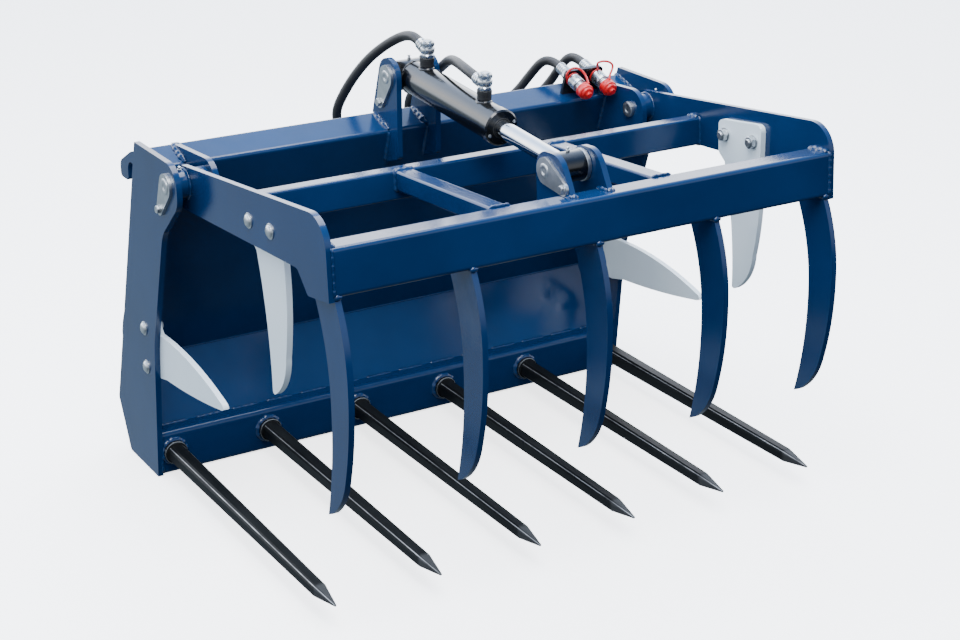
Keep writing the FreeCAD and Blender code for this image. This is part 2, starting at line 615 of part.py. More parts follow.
# Hitch brackets: hook over the carrier's cross tube, eye for its locking pin
def hitch_bracket(name, side):
    throat_front, throat_rear = "(throat_y - hook_throat)", "(throat_y + hook_throat)"
    nose = f"({throat_rear} + hook_nose)"
    crown = f"({THROAT_Z} + hook_back)"
    eye = leaned("eye_out", "-eye_down")
    out, low = "(eye_out + eye_wall)", "(-eye_down - eye_wall)"
    outline = [leaned("0", "-rear_drop - corner_round"), ("throat_y", crown),
               (nose, f"({THROAT_Z} + corner_round)"), (nose, NOSE_LOW), (throat_rear, NOSE_LOW),
               (throat_rear, THROAT_Z), ("throat_y", f"({THROAT_Z} + hook_throat)", "hook_throat", 1),
               (throat_front, THROAT_Z, "hook_throat", 1), (throat_front, NOSE_LOW),
               leaned("corner_round", "-eye_down * 0.6"), leaned(out, "-eye_down + eye_wall"),
               leaned(out, low), leaned("-panel_inset", low),
               leaned("-panel_inset", f"-{BEAM_LOW}"), leaned("0", f"-{BEAM_LOW}")]
    rounds = [(*outline[1], "hook_nose"), (*outline[2], "hook_nose / 2"),
              (*outline[3], "corner_round"), (*outline[4], "corner_round"),
              (*outline[10], "eye_wall - 2"), (*outline[11], "eye_wall - 2")]
    near = f"({PLATE_IN} - bracket_gap - bracket_plate)"
    keep(plate("hitch_bracket_" + name, outline, sided(side, near, "bracket_plate"),
               "bracket_plate", holes=[(*eye, "eye_radius")], rounds=rounds))


# Quick couplers in their holder on the rear beam, each with a dust cap
def coupler_x(number):
    """The couplers stand side by side next to the right hinge ear."""
    return f"({EAR_IN} - coupler_inset - {1 - number} * coupler_pitch)"


def couplers():
    holder = new_body("coupler_holder", BACK)
    sketch = new_sketch(holder, "XZ_Plane", "holder_y")
    left, right = f"({coupler_x(0)} - holder_margin)", f"({coupler_x(1)} + holder_margin)"
    top = "(coupler_height + holder_rise)"
    add_outline(sketch, [(left, "-rear_drop"), (right, "-rear_drop"), (right, top), (left, top)])
    for number in range(2):
        add_circle(sketch, coupler_x(number), "coupler_height", "(coupler_radius + pin_play)")
    pad(holder, sketch, "holder_plate")
    round_corners(holder, "y", [(left, top, "corner_round"), (right, top, "corner_round")])
    keep(holder)
    bodies, caps = [], []
    collar = "(coupler_radius + 3.5)"
    front_face = "(-holder_y - holder_plate)"
    for number in range(2):
        spot = (coupler_x(number), *leaned("0", "coupler_height"), "lean")
        profile = [("0", "0"), ("(hose_radius + 2.5)", "0"),
                   ("(hose_radius + 2.5)", "-coupler_sleeve"), (collar, "-coupler_sleeve"),
                   (collar, "-holder_y"), ("coupler_radius", "-holder_y"),
                   ("coupler_radius", f"({front_face} - 8)"), (collar, f"({front_face} - 8)"),
                   (collar, "(-coupler_front + 14)"), ("coupler_radius", "(-coupler_front + 10)"),
                   ("coupler_radius", "-coupler_front"), ("0", "-coupler_front")]
        bodies.append(turned(f"coupler_{number + 1}", "y", profile, spot))
        end = "(-coupler_front - cap_length)"
        cap = [("0", "-coupler_front"), ("cap_radius", "-coupler_front"),
               ("cap_radius", f"({end} + 11)"), ("(cap_radius - 4)", f"({end} + 7)"),
               ("cap_knob", f"({end} + 7)"), ("cap_knob", end), ("0", end)]
        caps.append(turned(f"cap_{number + 1}", "y", cap, spot))
    keep(group("quick_couplers", bodies))
    keep(group("dust_caps", caps))


# Jaw arms and the bushes they turn on
def jaw_arm(name, side):
    outline = [("arm_rear", "arm_top_rear"), ("-front_reach", "arm_top_front"),
               ("-front_reach", "(-arm_toe + 7)"), ("(-front_reach + arm_toe_length)", "-arm_toe"),
               ("(-front_reach + arm_heel)", "-arm_low"), ("arm_rear", "-arm_low")]
    radii = ["arm_rear_round", "arm_nose_round", None, "corner_round", "corner_round + 5",
             "arm_rear_round"]
    rounds = [(h, v, r) for (h, v), r in zip(outline, radii) if r]
    holes = [("0", "0", BUSH_RADIUS),
             ("upper_bolt_y", "upper_bolt_z", "blade_bolt + bolt_play"),
             ("upper_bolt_y - upper_bolt_pitch", "upper_bolt_z", "blade_bolt + bolt_play")]
    keep(plate("jaw_arm_" + name, outline, sided(side, ARM_IN, "arm_plate"), "arm_plate", JAW,
               holes=holes, rounds=rounds))


def arm_bushes():
    bushes = []
    for name, side in SIDES.items():
        profile = ring(f"({EAR_OUT} + side_play)", f"({PLATE_IN} - side_play)",
                       "(hinge_pin + pin_play)", BUSH_RADIUS)
        bushes.append(turned("arm_bush_" + name, "x", profile, JAW[:3] + ("0",), side < 0))
    keep(group("arm_bushes", bushes))


# Bars and struts of the jaw
def jaw_bars():
    width = f"2 * {ARM_IN}"
    keep(box_tube("front_bar", ("-front_reach", "(bar_top - front_height)"),
                  ("(-front_reach + front_depth)", "bar_top"), "front_wall", "front_round",
                  "YZ_Plane", f"-{ARM_IN}", width, JAW))
    keep(box_tube("mid_bar", ("-mid_reach", "(bar_top - mid_height)"),
                  ("(-mid_reach + mid_depth)", "bar_top"), "mid_wall", "mid_round",
                  "YZ_Plane", f"-{ARM_IN}", width, JAW))
    for name, side in SIDES.items():
        centre = f"({side} * strut_x)"
        keep(box_tube("jaw_strut_" + name,
                      (f"({centre} - strut_width / 2)", "(bar_top - strut_height)"),
                      (f"({centre} + strut_width / 2)", "bar_top"), "mid_wall", "mid_round",
                      "XZ_Plane", "mid_reach", "front_reach - front_depth - mid_reach", JAW))


# Upper tines, cut from plate and seated on the lower rear corner of the front bar
def upper_tine(number):
    foot = "(bar_top - front_height)"
    back = "(-front_reach + front_depth)"
    outline = [("(-front_reach + front_round / 2)", foot),
               ("(-front_reach - claw_bulge)", "-claw_bulge_z", "claw_upper_round", 1),
               ("(-front_reach + claw_turn)", "-claw_turn_z", "claw_front_round", 1),
               ("(-front_reach + claw_tip)", "-claw_tip_z", "claw_tip_round", 1),
               ("(-front_reach + claw_end)", "-claw_end_z"),
               ("(-front_reach + claw_back)", "-claw_back_z", "claw_lower_round", -1),
               ("(-front_reach + claw_root)", "-claw_root_z", "claw_root_round", -1),
               (f"({back} + claw_lip)", f"({foot} + claw_lip_height / 2)"),
               (back, f"({foot} + claw_lip_height)"), (back, foot)]
    centre = f"(({number} - {(UPPER_TINES - 1) / 2}) * 2 / {UPPER_TINES - 1}" \
             f" * ({ARM_IN} - claw_plate / 2))"
    keep(plate(f"upper_tine_{number + 1}", outline, f"({centre} - claw_plate / 2)", "claw_plate",
               JAW))


# Cylinder ears on the front bar, with the two ends of their pin
def front_ear(name, side):
    back = "(-front_reach + front_depth)"
    rear = f"(-{PIN_REACH} + front_ear_radius)"
    top = "(front_pin_height + front_ear_radius)"
    outline = [(rear, "(bar_top - front_ear_back)"), (back, "(bar_top - front_ear_back - 12)"),
               (back, "bar_top"), ("(-front_reach + front_ear_toe)", "bar_top"),
               (f"(-{PIN_REACH} - front_ear_fin)", top), (rear, top)]
    rounds = [(*outline[0], "corner_round"), (*outline[4], "front_ear_fin"),
              (*outline[5], "(front_ear_radius - 0.5)")]
    keep(plate("front_cylinder_ear_" + name, outline,
               sided(side, "front_ear_inner", "ear_plate"), "ear_plate", JAW, rounds=rounds,
               holes=[(f"-{PIN_REACH}", "front_pin_height", "cylinder_pin + pin_play")]))


def front_pin():
    outer = "(front_ear_inner + ear_plate)"
    at_pin = pivot_frame(FRONT_PIN, "(front_keeper_angle - jaw_tilt)")
    ends = []
    for name, side in SIDES.items():
        profile = [("(front_ear_inner + side_play)", "0"), (f"({outer} + keeper_plate)", "0"),
                   (f"({outer} + keeper_plate)", "cylinder_pin"),
                   ("(front_ear_inner + side_play)", "cylinder_pin")]
        ends.append(turned("front_pin_end_" + name, "x", profile, pivot_frame(FRONT_PIN, "0"),
                           side < 0))
    keep(group("front_pin_ends", ends))
    keep(keeper("front_keeper", outer, -1, "cylinder_pin", at_pin))
    keep(keeper_bolt("front_keeper_bolt", outer, -1, at_pin))


# Cylinder: barrel with its eye, gland, ports and hose fittings
def barrel():
    bore = "(barrel_radius - barrel_wall)"
    profile = [("0", "-barrel_start"), ("barrel_radius", "-barrel_start"),
               ("barrel_radius", "-barrel_end"), (bore, "-barrel_end"), (bore, "-plug_end"),
               ("0", "-plug_end")]
    body = turned("barrel", "y", profile, CYLINDER)
    doc.recompute()
    cut_round(body, "YZ_Plane", [("0", "0", "rear_eye_radius")], "3 * barrel_radius")
    for port in ("rear_port", "front_port"):
        sketch = new_sketch(body, "XY_Plane", "boss_root")
        add_circle(sketch, "0", f"-{port}", "boss_radius")
        pad(body, sketch, "boss_top - boss_root")
    keep(body)
    eye = ring("-rear_eye_width / 2", "rear_eye_width / 2", "(cylinder_pin + pin_play)",
               "rear_eye_radius")
    keep(turned("barrel_eye", "x", eye, CYLINDER))
    spigot = f"({bore} - bore_play)"
    rod_hole = "(rod_radius + bore_play)"
    gland = [(rod_hole, "-gland_end"), ("gland_radius - 3", "-gland_end"),
             ("gland_radius", "-gland_end + 3"), ("gland_radius", "-barrel_end"),
             (spigot, "-barrel_end"), (spigot, "-barrel_end + gland_spigot"),
             (rod_hole, "-barrel_end + gland_spigot")]
    keep(turned("gland", "y", gland, CYLINDER))


def hose_fittings():
    """On each port a collar, a swivel nut and an elbow whose ferrule takes the hose."""
    pieces = []
    nut_foot = "(boss_top + collar_height)"
    axis = "(boss_top + elbow_height)"
    for port in ("rear_port", "front_port"):
        body = new_body(port + "_fitting", CYLINDER)
        for radius, start, height in (("collar_radius", "boss_top", "collar_height"),
                                      ("nut_radius", nut_foot, "(elbow_height - collar_height)"),
                                      ("elbow_radius", axis, "elbow_radius + 1")):
            sketch = new_sketch(body, "XY_Plane", start)
            add_circle(sketch, "0", f"-{port}", radius)
            pad(body, sketch, height)
        sketch = new_sketch(body, "XZ_Plane", f"({port} - elbow_reach)")
        add_circle(sketch, "0", axis, "elbow_radius - 1.5")
        pad(body, sketch, "elbow_reach")
        sketch = new_sketch(body, "XZ_Plane", f"({port} - elbow_reach)")
        add_circle(sketch, "0", axis, "ferrule_radius")
        pad(body, sketch, "(elbow_reach - nut_radius - 5)")
        pieces.append(body)
    keep(group("hose_fittings", pieces))


# Rod with its piston, eye and the pin core in that eye
def rod():
    back = "(-piston_front + piston_length)"
    profile = [("0", f"({back} + 5)"), ("rod_spigot", f"({back} + 5)"),
               ("rod_spigot", "-piston_front"), ("rod_radius", "-piston_front"),
               ("rod_radius", f"-{PIN_SPAN} + rod_eye_radius - 8"),
               ("0", f"-{PIN_SPAN} + rod_eye_radius - 8")]
    body = turned("piston_rod", "y", profile, CYLINDER)
    doc.recompute()
    cut_round(body, "YZ_Plane", [(f"-{PIN_SPAN}", "0", "rod_eye_radius")], "3 * barrel_radius")
    keep(body)
    ring_out = "(barrel_radius - barrel_wall - bore_play)"
    keep(turned("piston", "y", [("rod_spigot", back), (ring_out, back),
                                (ring_out, "-piston_front"), ("rod_spigot", "-piston_front")],
                CYLINDER))
    at_pin = pivot_frame(FRONT_PIN, "0")
    half = "(rod_eye_width / 2)"
    keep(turned("rod_eye", "x", ring(f"-{half}", half, "(cylinder_pin + pin_play)",
                                     "rod_eye_radius"), at_pin))
    rim = f"({half} + washer_plate)"
    core = [(f"-{rim}", "0"), (rim, "0"), (rim, "washer_radius"), (half, "washer_radius"),
            (half, "cylinder_pin"), (f"-{half}", "cylinder_pin"), (f"-{half}", "washer_radius"),
            (f"-{rim}", "washer_radius")]
    keep(turned("front_pin_core", "x", core, at_pin))


# Hoses: straight runs joined by tangent arcs
HOSE_ROUTES = {
    "rear_port_hose": [
        (0, -144.65, 907.91), (0, -118.7, 909.84), (-4, -84, 902.6), (-21, -48, 880),
        (-44, -12, 847), (-62, 22, 806), (-75, 50, 764), (-84, 76, 716), (-70, 94, 670),
        (-30, 104, 632), (26, 108, 610), (92, 108, 600), (160, 104, 600), (226, 96, 612),
        (284, 82, 638), (330, 66, 674), (362, 44, 714), (380, 17, 752), (395, -9, 780),
        (424, -28.4, 780.26), (424, -51.234, 772.884)],
    "front_port_hose": [
        (0, -376.01, 890.69), (0, -350.1, 892.6), (7, -314, 891), (18, -272, 890),
        (36, -226, 884), (56, -176, 870), (71, -124, 846), (76, -72, 816), (76, -27, 786),
        (77, 11, 754), (79, 39, 720), (88, 54, 684), (108, 62, 652), (146, 64, 632),
        (198, 62, 624), (252, 58, 626), (306, 52, 638), (358, 44, 660), (404, 35, 690),
        (436, 22, 722), (450, 4, 756), (465, -13, 781), (487, -28.4, 780.26),
        (487, -51.234, 772.884)],
}


def hose(label, route):
    points = [FreeCAD.Vector(*point) for point in route]
    runs = [end - start for start, end in zip(points, points[1:])]
    edges, radii, here = [], [], points[0]
    for corner, before, after in zip(points[1:-1], runs, runs[1:]):
        turn = before.getAngle(after)
        reach = 0.45 * min(before.Length, after.Length)
        radii.append(reach / math.tan(turn / 2))
        first = corner - before.normalize() * reach
        last = corner + FreeCAD.Vector(after).normalize() * reach
        bisector = (first + last) / 2 - corner
        centre_way = FreeCAD.Vector(bisector).normalize()
        middle = corner + centre_way * (radii[-1] / math.cos(turn / 2) - radii[-1])
        edges.append(Part.LineSegment(here, first).toShape())
        edges.append(Part.Arc(first, middle, last).toShape())
        here = last
    edges.append(Part.LineSegment(here, points[-1]).toShape())
    path = Part.Wire(edges)
    radius = size("hose_radius")
    circle = Part.Circle(points[0], points[1] - points[0], radius)
    tube = path.makePipeShell([Part.Wire([circle.toShape()])], True, False)
    print(label, "length", round(path.Length, 1), "tightest bend", round(min(radii), 1),
          "radii", [round(radius_here) for radius_here in radii],
          "volume ratio", round(tube.Volume / (math.pi * radius ** 2 * path.Length), 4))
    feature = doc.addObject("Part::Feature", label)
    feature.Label = label
    feature.Shape = tube
    keep(feature)


for side_name, side_sign in SIDES.items():
    side_plate(side_name, side_sign)
    hinge_ear(side_name, side_sign)
    rear_ear(side_name, side_sign)
    lower_blade(side_name, side_sign)
    hitch_bracket(side_name, side_sign)
    jaw_arm(side_name, side_sign)
    upper_blade(side_name, side_sign)
    front_ear(side_name, side_sign)
cross_members()
back_panels()
tine_seats()
for tine in range(LOWER_TINES):
    lower_tine(tine)
for tine in range(UPPER_TINES):
    upper_tine(tine)
pins_and_keepers()
LOWER_BOLTS = [("lower_bolt_y", "lower_bolt_top"),
               ("lower_bolt_y", "(lower_bolt_top - lower_bolt_pitch)")]
UPPER_BOLTS = [("upper_bolt_y", "upper_bolt_z"),
               ("(upper_bolt_y - upper_bolt_pitch)", "upper_bolt_z")]
blade_bolts("lower_blade_bolts", HALF, f"({PLATE_IN} - blade_plate)", LOWER_BOLTS,
            lambda y, z: (y, z))
blade_bolts("upper_blade_bolts", ARM_OUT, f"({ARM_IN} - blade_plate)", UPPER_BOLTS, in_jaw)
couplers()
arm_bushes()
jaw_bars()
front_pin()
barrel()
hose_fittings()
rod()
for hose_name, hose_route in HOSE_ROUTES.items():
    hose(hose_name, hose_route)

doc.recompute()
for item in doc.Objects:
    if {"Invalid", "Error"} & set(item.State):
        raise RuntimeError(f"{item.Label} failed: {item.State}")
for item in nodes:
    if item.Shape.isNull() or not item.Shape.isValid():
        raise RuntimeError(f"{item.Label} has no valid shape")

os.makedirs("parts", exist_ok=True)
for item in nodes:
    item.Shape.exportStep(f"parts/{item.Label}.step")
print(len(nodes), "nodes written")
for name, pin in (("rear pin", REAR_PIN), ("front pin", FRONT_PIN), ("hinge", ("pivot_y", PIVOT_Z))):
    print(name, round(size(pin[0]), 3), round(size(pin[1]), 3))
print("pin to pin", round(size(PIN_SPAN), 2), "slope", round(size(CYLINDER[3]), 4))
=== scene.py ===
import json
import math

import bmesh
import bpy
from mathutils import Matrix, Vector


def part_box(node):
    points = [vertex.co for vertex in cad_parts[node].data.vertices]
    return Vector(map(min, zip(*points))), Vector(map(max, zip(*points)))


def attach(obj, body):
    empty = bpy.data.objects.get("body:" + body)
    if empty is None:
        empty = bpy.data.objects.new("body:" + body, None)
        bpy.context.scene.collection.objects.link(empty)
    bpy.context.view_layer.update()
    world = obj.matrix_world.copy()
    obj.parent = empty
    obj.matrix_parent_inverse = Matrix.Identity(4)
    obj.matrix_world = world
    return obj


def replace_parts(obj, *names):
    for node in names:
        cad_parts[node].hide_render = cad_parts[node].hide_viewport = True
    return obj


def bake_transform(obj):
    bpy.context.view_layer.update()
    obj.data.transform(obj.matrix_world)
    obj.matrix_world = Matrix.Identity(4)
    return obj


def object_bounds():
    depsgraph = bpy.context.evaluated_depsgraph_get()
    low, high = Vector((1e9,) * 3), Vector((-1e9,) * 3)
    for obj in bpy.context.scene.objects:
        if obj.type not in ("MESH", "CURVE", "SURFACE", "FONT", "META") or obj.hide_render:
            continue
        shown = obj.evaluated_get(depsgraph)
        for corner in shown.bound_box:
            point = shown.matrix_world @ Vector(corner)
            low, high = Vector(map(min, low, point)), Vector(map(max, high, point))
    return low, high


# The grapple dressed for the studio: paint, plating, weld beads, hydraulic fittings and
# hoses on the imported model. Metres, front at -Y, Z up, as in the part.
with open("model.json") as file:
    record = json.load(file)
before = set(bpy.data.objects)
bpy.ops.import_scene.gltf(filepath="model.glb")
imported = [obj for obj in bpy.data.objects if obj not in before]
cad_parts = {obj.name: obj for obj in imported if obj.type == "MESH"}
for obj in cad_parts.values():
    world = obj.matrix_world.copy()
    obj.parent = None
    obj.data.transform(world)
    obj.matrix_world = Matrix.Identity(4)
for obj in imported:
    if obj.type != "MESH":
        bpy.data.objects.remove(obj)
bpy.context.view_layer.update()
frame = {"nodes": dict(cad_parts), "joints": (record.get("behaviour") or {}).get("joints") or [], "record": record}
NODES = frame["nodes"]
JOINTS = {joint["name"]: joint for joint in frame["joints"]}
SIDES = {"left": -1, "right": 1}

# Directions and frames that the pieces are laid out in
LEAN = math.radians(17.9)
JAW_TILT = math.radians(-4)
PIVOT = Vector(JOINTS["jaw_hinge"]["pos_m"])
REAR_PIN = Vector(JOINTS["barrel_hinge"]["pos_m"])
ROD_WAY = Vector(JOINTS["rod_slide"]["axis"])
CYLINDER_TILT = math.atan2(-ROD_WAY.z, -ROD_WAY.y)
PLATE_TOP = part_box("side_plate_left")[1][2]
BACK = Matrix.Translation((0, -0.044, PLATE_TOP)) @ Matrix.Rotation(LEAN, 4, "X")
JAW = Matrix.Translation(PIVOT) @ Matrix.Rotation(JAW_TILT, 4, "X")
CYLINDER = Matrix.Translation(REAR_PIN) @ Matrix.Rotation(CYLINDER_TILT, 4, "X")
WORLD = Matrix.Identity(4)
MILLIMETRE = 0.001

# Places that several pieces share, in millimetres: tines and claws along X, ports and the
# rod's pin along the cylinder, pins as (y, z), couplers along X
PLATE_FACE = 588  # inner face of a side plate
ARM_IN, ARM_OUT = 551, 563  # faces of a jaw arm
SOCKETS = (-560, -336, -112, 112, 336, 560)
CLAWS = (-545, -272.5, 0, 272.5, 545)
PORTS = (-73, -305)
FERRULE_TILTS = {-73: 20, -305: 6}
PIN_SPAN = -611.71
REAR_EYE = (-110.648, 826.204)
FRONT_EYE = (-720.68, 780.82)
COUPLERS = (424, 487)
# the caps' leashes: across, up and along each coupler
LEASHES = (
    ((-14.9, 0, 54), (-19, 9, 53), (-17, 20, 52), (-9, 29, 53), (2, 32, 58), (11, 28, 67),
     (15, 21, 78), (13, 17, 90), (10, 14, 100)),
    ((0, 14.9, 54), (-3, 20, 57), (-7, 29, 62), (-13, 37, 65), (-13, 45, 68), (-2, 49, 72),
     (12, 47, 76), (20, 40, 80), (17, 32, 85), (9, 25, 91), (4, 20, 97), (3, 17, 100)))


def add_camera():
    """The photograph's view, rebuilt from the straight edges of the frame and the jaw."""
    data = bpy.data.cameras.new("camera")
    data.lens = 70.73
    data.sensor_width = 36
    data.clip_end = 60
    camera = bpy.data.objects.new("camera", data)
    camera.location = (-1.8935, -3.5479, 1.8263)
    sight = Vector((0.47897, 0.79583, -0.37046)).normalized()
    right = Vector((0.85679, -0.51566, 0.0))
    right = (right - sight * right.dot(sight)).normalized()
    up = right.cross(sight)
    turn = Matrix((right, up, -sight)).transposed()
    camera.rotation_euler = turn.to_euler()
    bpy.context.scene.collection.objects.link(camera)
    bpy.context.scene.camera = camera


add_camera()


# Colours and materials
def srgb(code, alpha=1.0):
    """A #rrggbb screen colour as the linear colour that the shaders take."""
    parts = [int(code[i:i + 2], 16) / 255 for i in (1, 3, 5)]
    linear = [p / 12.92 if p <= 0.04045 else ((p + 0.055) / 1.055) ** 2.4 for p in parts]
    return (*linear, alpha)


def add_node(tree, kind, links=(), stops=(), **settings):
    """A shader node. Each link is (source, input), where the source is another node's output,
    a node that gives its first output, or a plain value. Stops are a ramp's colours."""
    node = tree.nodes.new("ShaderNode" + kind)
    for name, value in settings.items():
        if hasattr(node, name):
            setattr(node, name, value)
        else:
            node.inputs[name.replace("_", " ")].default_value = value
    for number, (position, code) in enumerate(stops):
        elements = node.color_ramp.elements
        element = elements[number] if number < 2 else elements.new(position)
        element.position, element.color = position, srgb(code)
    for source, socket in links:
        if isinstance(source, bpy.types.Node):
            source = source.outputs[0]
        if isinstance(source, bpy.types.NodeSocket):
            tree.links.new(source, node.inputs[socket])
        else:
            node.inputs[socket].default_value = source
    return node


def start_material(name):
    """A new material's tree, and the place on the object that its patterns are drawn at."""
    material = bpy.data.materials.new(name)
    material.use_nodes = True
    material.node_tree.nodes.clear()
    tree = material.node_tree
    return material, tree, add_node(tree, "TexCoord").outputs["Object"]


def finish_material(tree, colour, roughness, normal, **settings):
    """The shader and output at the end of a material's tree."""
    shader = add_node(tree, "BsdfPrincipled", [(colour, "Base Color"), (roughness, "Roughness"),
                                               (normal, "Normal")], **settings)
    add_node(tree, "OutputMaterial", [(shader, "Surface")])
    return shader


def powder_coated(name, dark, light, roughness, waves=0.0005, coat=0.0):
    """Sprayed or baked paint on steel. The eye sees a colour that drifts over 200 mm, gloss
    that changes over 45 mm, plate that waves over 110 mm, and orange peel. Peel is about 1 mm
    wide on the real paint and 2.4 mm here, as finer doesn't show."""
    material, tree, where = start_material(name)
    drift = add_node(tree, "TexNoise", [(where, "Vector")], Scale=5.0, Detail=3.0)
    colour = add_node(tree, "ValToRGB", [(drift, "Fac")], [(0.3, dark), (0.7, light)])
    patches = add_node(tree, "TexNoise", [(where, "Vector")], Scale=22.0, Detail=5.0)
    gloss = add_node(tree, "MapRange", [(patches, "Value")], To_Min=roughness - 0.05,
                     To_Max=roughness + 0.08)
    wave = add_node(tree, "TexNoise", [(where, "Vector")], Scale=9.0, Detail=1.0)
    wavy = add_node(tree, "Bump", [(wave, "Height")], Distance=waves)
    peel = add_node(tree, "TexNoise", [(where, "Vector")], Scale=420.0, Detail=2.0)
    peeled = add_node(tree, "Bump", [(peel, "Height"), (wavy, "Normal")], Distance=0.00012)
    finish_material(tree, colour, gloss, peeled, Coat_Weight=coat, Coat_Roughness=0.06)
    return material


def plated(name, dark, light, roughness, grain=320.0, depth=0.000012):
    """Zinc or chrome plate on turned or pressed steel: a mirror that clouds over 18 mm and
    scatters in a grain. The grain is drawn 2 to 3 mm wide, far coarser than the plate's own."""
    material, tree, where = start_material(name)
    clouds = add_node(tree, "TexNoise", [(where, "Vector")], Scale=55.0, Detail=4.0)
    colour = add_node(tree, "ValToRGB", [(clouds, "Fac")], [(0.3, dark), (0.7, light)])
    fine = add_node(tree, "TexNoise", [(where, "Vector")], Scale=grain, Detail=3.0)
    gloss = add_node(tree, "MapRange", [(fine, "Value")], To_Min=roughness - 0.06,
                     To_Max=roughness + 0.1)
    grained = add_node(tree, "Bump", [(fine, "Height")], Distance=depth)
    finish_material(tree, colour, gloss, grained, Metallic=1.0)
    return material


def tine_highlight_and_tip(tree, where, marks, lacquer):
    """A painted highlight on the tine, and its colour: a broken bright steel-grey line, 1 to 3 mm wide, painted
    along each rounded corner where it would catch the light, and a tip that turns a little lighter and more
    metallic over its last 8 mm."""
    place = add_node(tree, "SeparateXYZ", [(where, "Vector")])
    # the corner's middle is as far beside the tine's axis as it is above it
    along_beam = add_node(tree, "Math", [(place.outputs["X"], 0), (TINE_PITCH * 2.5, 1)],
                          operation="ADD")
    beside = add_node(tree, "Math", [(along_beam, 0), (TINE_PITCH / 2, 1)],
                      operation="PINGPONG")
    lifted = add_node(tree, "Math", [(place.outputs["Z"], 0), (TINE_LEVEL, 1)],
                      operation="SUBTRACT")
    above = add_node(tree, "Math", [(lifted, 0)], operation="ABSOLUTE")
    offset = add_node(tree, "Math", [(beside, 0), (above, 1)], operation="SUBTRACT")
    from_corner = add_node(tree, "Math", [(offset, 0)], operation="ABSOLUTE")
    # the painted highlight: a bright line along the middle of each rounded corner
    line = add_node(tree, "MapRange", [(from_corner, "Value")], From_Min=0.0016,
                    From_Max=0.0004)
    # noise that breaks the painted corner highlight into patches
    corner_highlight_breaks = add_node(tree, "TexNoise", [(where, "Vector")], Scale=17.0, Detail=4.0)
    patches = add_node(tree, "MapRange", [(corner_highlight_breaks, "Value")], To_Min=-0.5, To_Max=1.6)
    corner = add_node(tree, "Math", [(line, 0), (patches, 1)], operation="MULTIPLY",
                      use_clamp=True)
    tip = add_node(tree, "MapRange", [(place.outputs["Y"], "Value")], From_Min=TIP_START,
                   From_Max=TIP_START - 0.008, To_Max=TIP_LIGHTENING)
    # where the colour turns steel grey: the painted corner highlight and the lighter tip
    corner_highlight_and_light_tip = add_node(tree, "Math", [(corner, 0), (tip, 1)], operation="MAXIMUM")
    # steel grey of the painted corner highlight and of the tip
    steel = add_node(tree, "ValToRGB", [(marks, "Fac")], [(0.3, "#9da0a2"), (0.7, "#d3d5d6")])
    colour = add_node(tree, "MixRGB", [(corner_highlight_and_light_tip, "Fac"), (lacquer, "Color1"), (steel, "Color2")])
    return corner_highlight_and_light_tip, colour


def forged(name, with_painted_highlight=False):
    """Forged steel under thin black lacquer: satin black with hammer and scale marks 33 mm
    wide and five times as long along the tine, and a fine scale drawn 2.6 mm wide."""
    material, tree, where = start_material(name)
    stretched = add_node(tree, "Mapping", [(where, "Vector"), ((1.0, 0.18, 1.0), "Scale")])
    marks = add_node(tree, "TexNoise", [(stretched, "Vector")], Scale=30.0, Detail=6.0)
    colour = add_node(tree, "ValToRGB", [(marks, "Fac")], [(0.3, "#0a0b0c"), (0.7, "#1a1c1d")])
    metallic = 0.0
    # for the tines: a bright line painted along each corner as a highlight, and a lighter tip
    if with_painted_highlight:
        metallic, colour = tine_highlight_and_tip(tree, where, marks, colour)
    gloss = add_node(tree, "MapRange", [(marks, "Value")], To_Min=0.34, To_Max=0.56)
    dented = add_node(tree, "Bump", [(marks, "Height")], Distance=0.0012, Strength=0.8)
    fine = add_node(tree, "TexNoise", [(where, "Vector")], Scale=380.0, Detail=3.0)
    scaled = add_node(tree, "Bump", [(fine, "Height"), (dented, "Normal")], Distance=0.00025)
    shader = finish_material(tree, colour, gloss, scaled, Specular_IOR_Level=0.09)
    if with_painted_highlight:
        tree.links.new(metallic.outputs[0], shader.inputs["Metallic"])
    return material


def wrapped_rubber(name):
    """Hydraulic hose cover: black rubber, vulcanised in a cloth wrap whose print shows as
    ridges 6 mm apart, with a dull grain."""
    material, tree, where = start_material(name)
    drift = add_node(tree, "TexNoise", [(where, "Vector")], Scale=14.0, Detail=3.0)
    colour = add_node(tree, "ValToRGB", [(drift, "Fac")], [(0.3, "#151516"), (0.7, "#232425")])
    wrap = add_node(tree, "TexWave", [(where, "Vector")], Scale=160.0, Distortion=6.0)
    grain = add_node(tree, "TexNoise", [(where, "Vector")], Scale=600.0, Detail=2.0)
    gloss = add_node(tree, "MapRange", [(grain, "Value")], To_Min=0.38, To_Max=0.55)
    wrapped = add_node(tree, "Bump", [(wrap.outputs["Fac"], "Height")], Distance=0.00012)
    grained = add_node(tree, "Bump", [(grain, "Height"), (wrapped, "Normal")],
                       Distance=0.00012)
    finish_material(tree, colour, gloss, grained)
    return material


def moulded(name, dark, light, roughness):
    """Injection-moulded soft plastic: even colour with a spark-eroded skin, drawn 1.4 mm wide."""
    material, tree, where = start_material(name)
    drift = add_node(tree, "TexNoise", [(where, "Vector")], Scale=40.0, Detail=3.0)
    colour = add_node(tree, "ValToRGB", [(drift, "Fac")], [(0.3, dark), (0.7, light)])
    skin = add_node(tree, "TexNoise", [(where, "Vector")], Scale=700.0, Detail=2.0)
    gloss = add_node(tree, "MapRange", [(skin, "Value")], To_Min=roughness,
                     To_Max=roughness + 0.12)
    eroded = add_node(tree, "Bump", [(skin, "Height")], Distance=0.00008)
    finish_material(tree, colour, gloss, eroded, Subsurface_Weight=0.04)
    return material


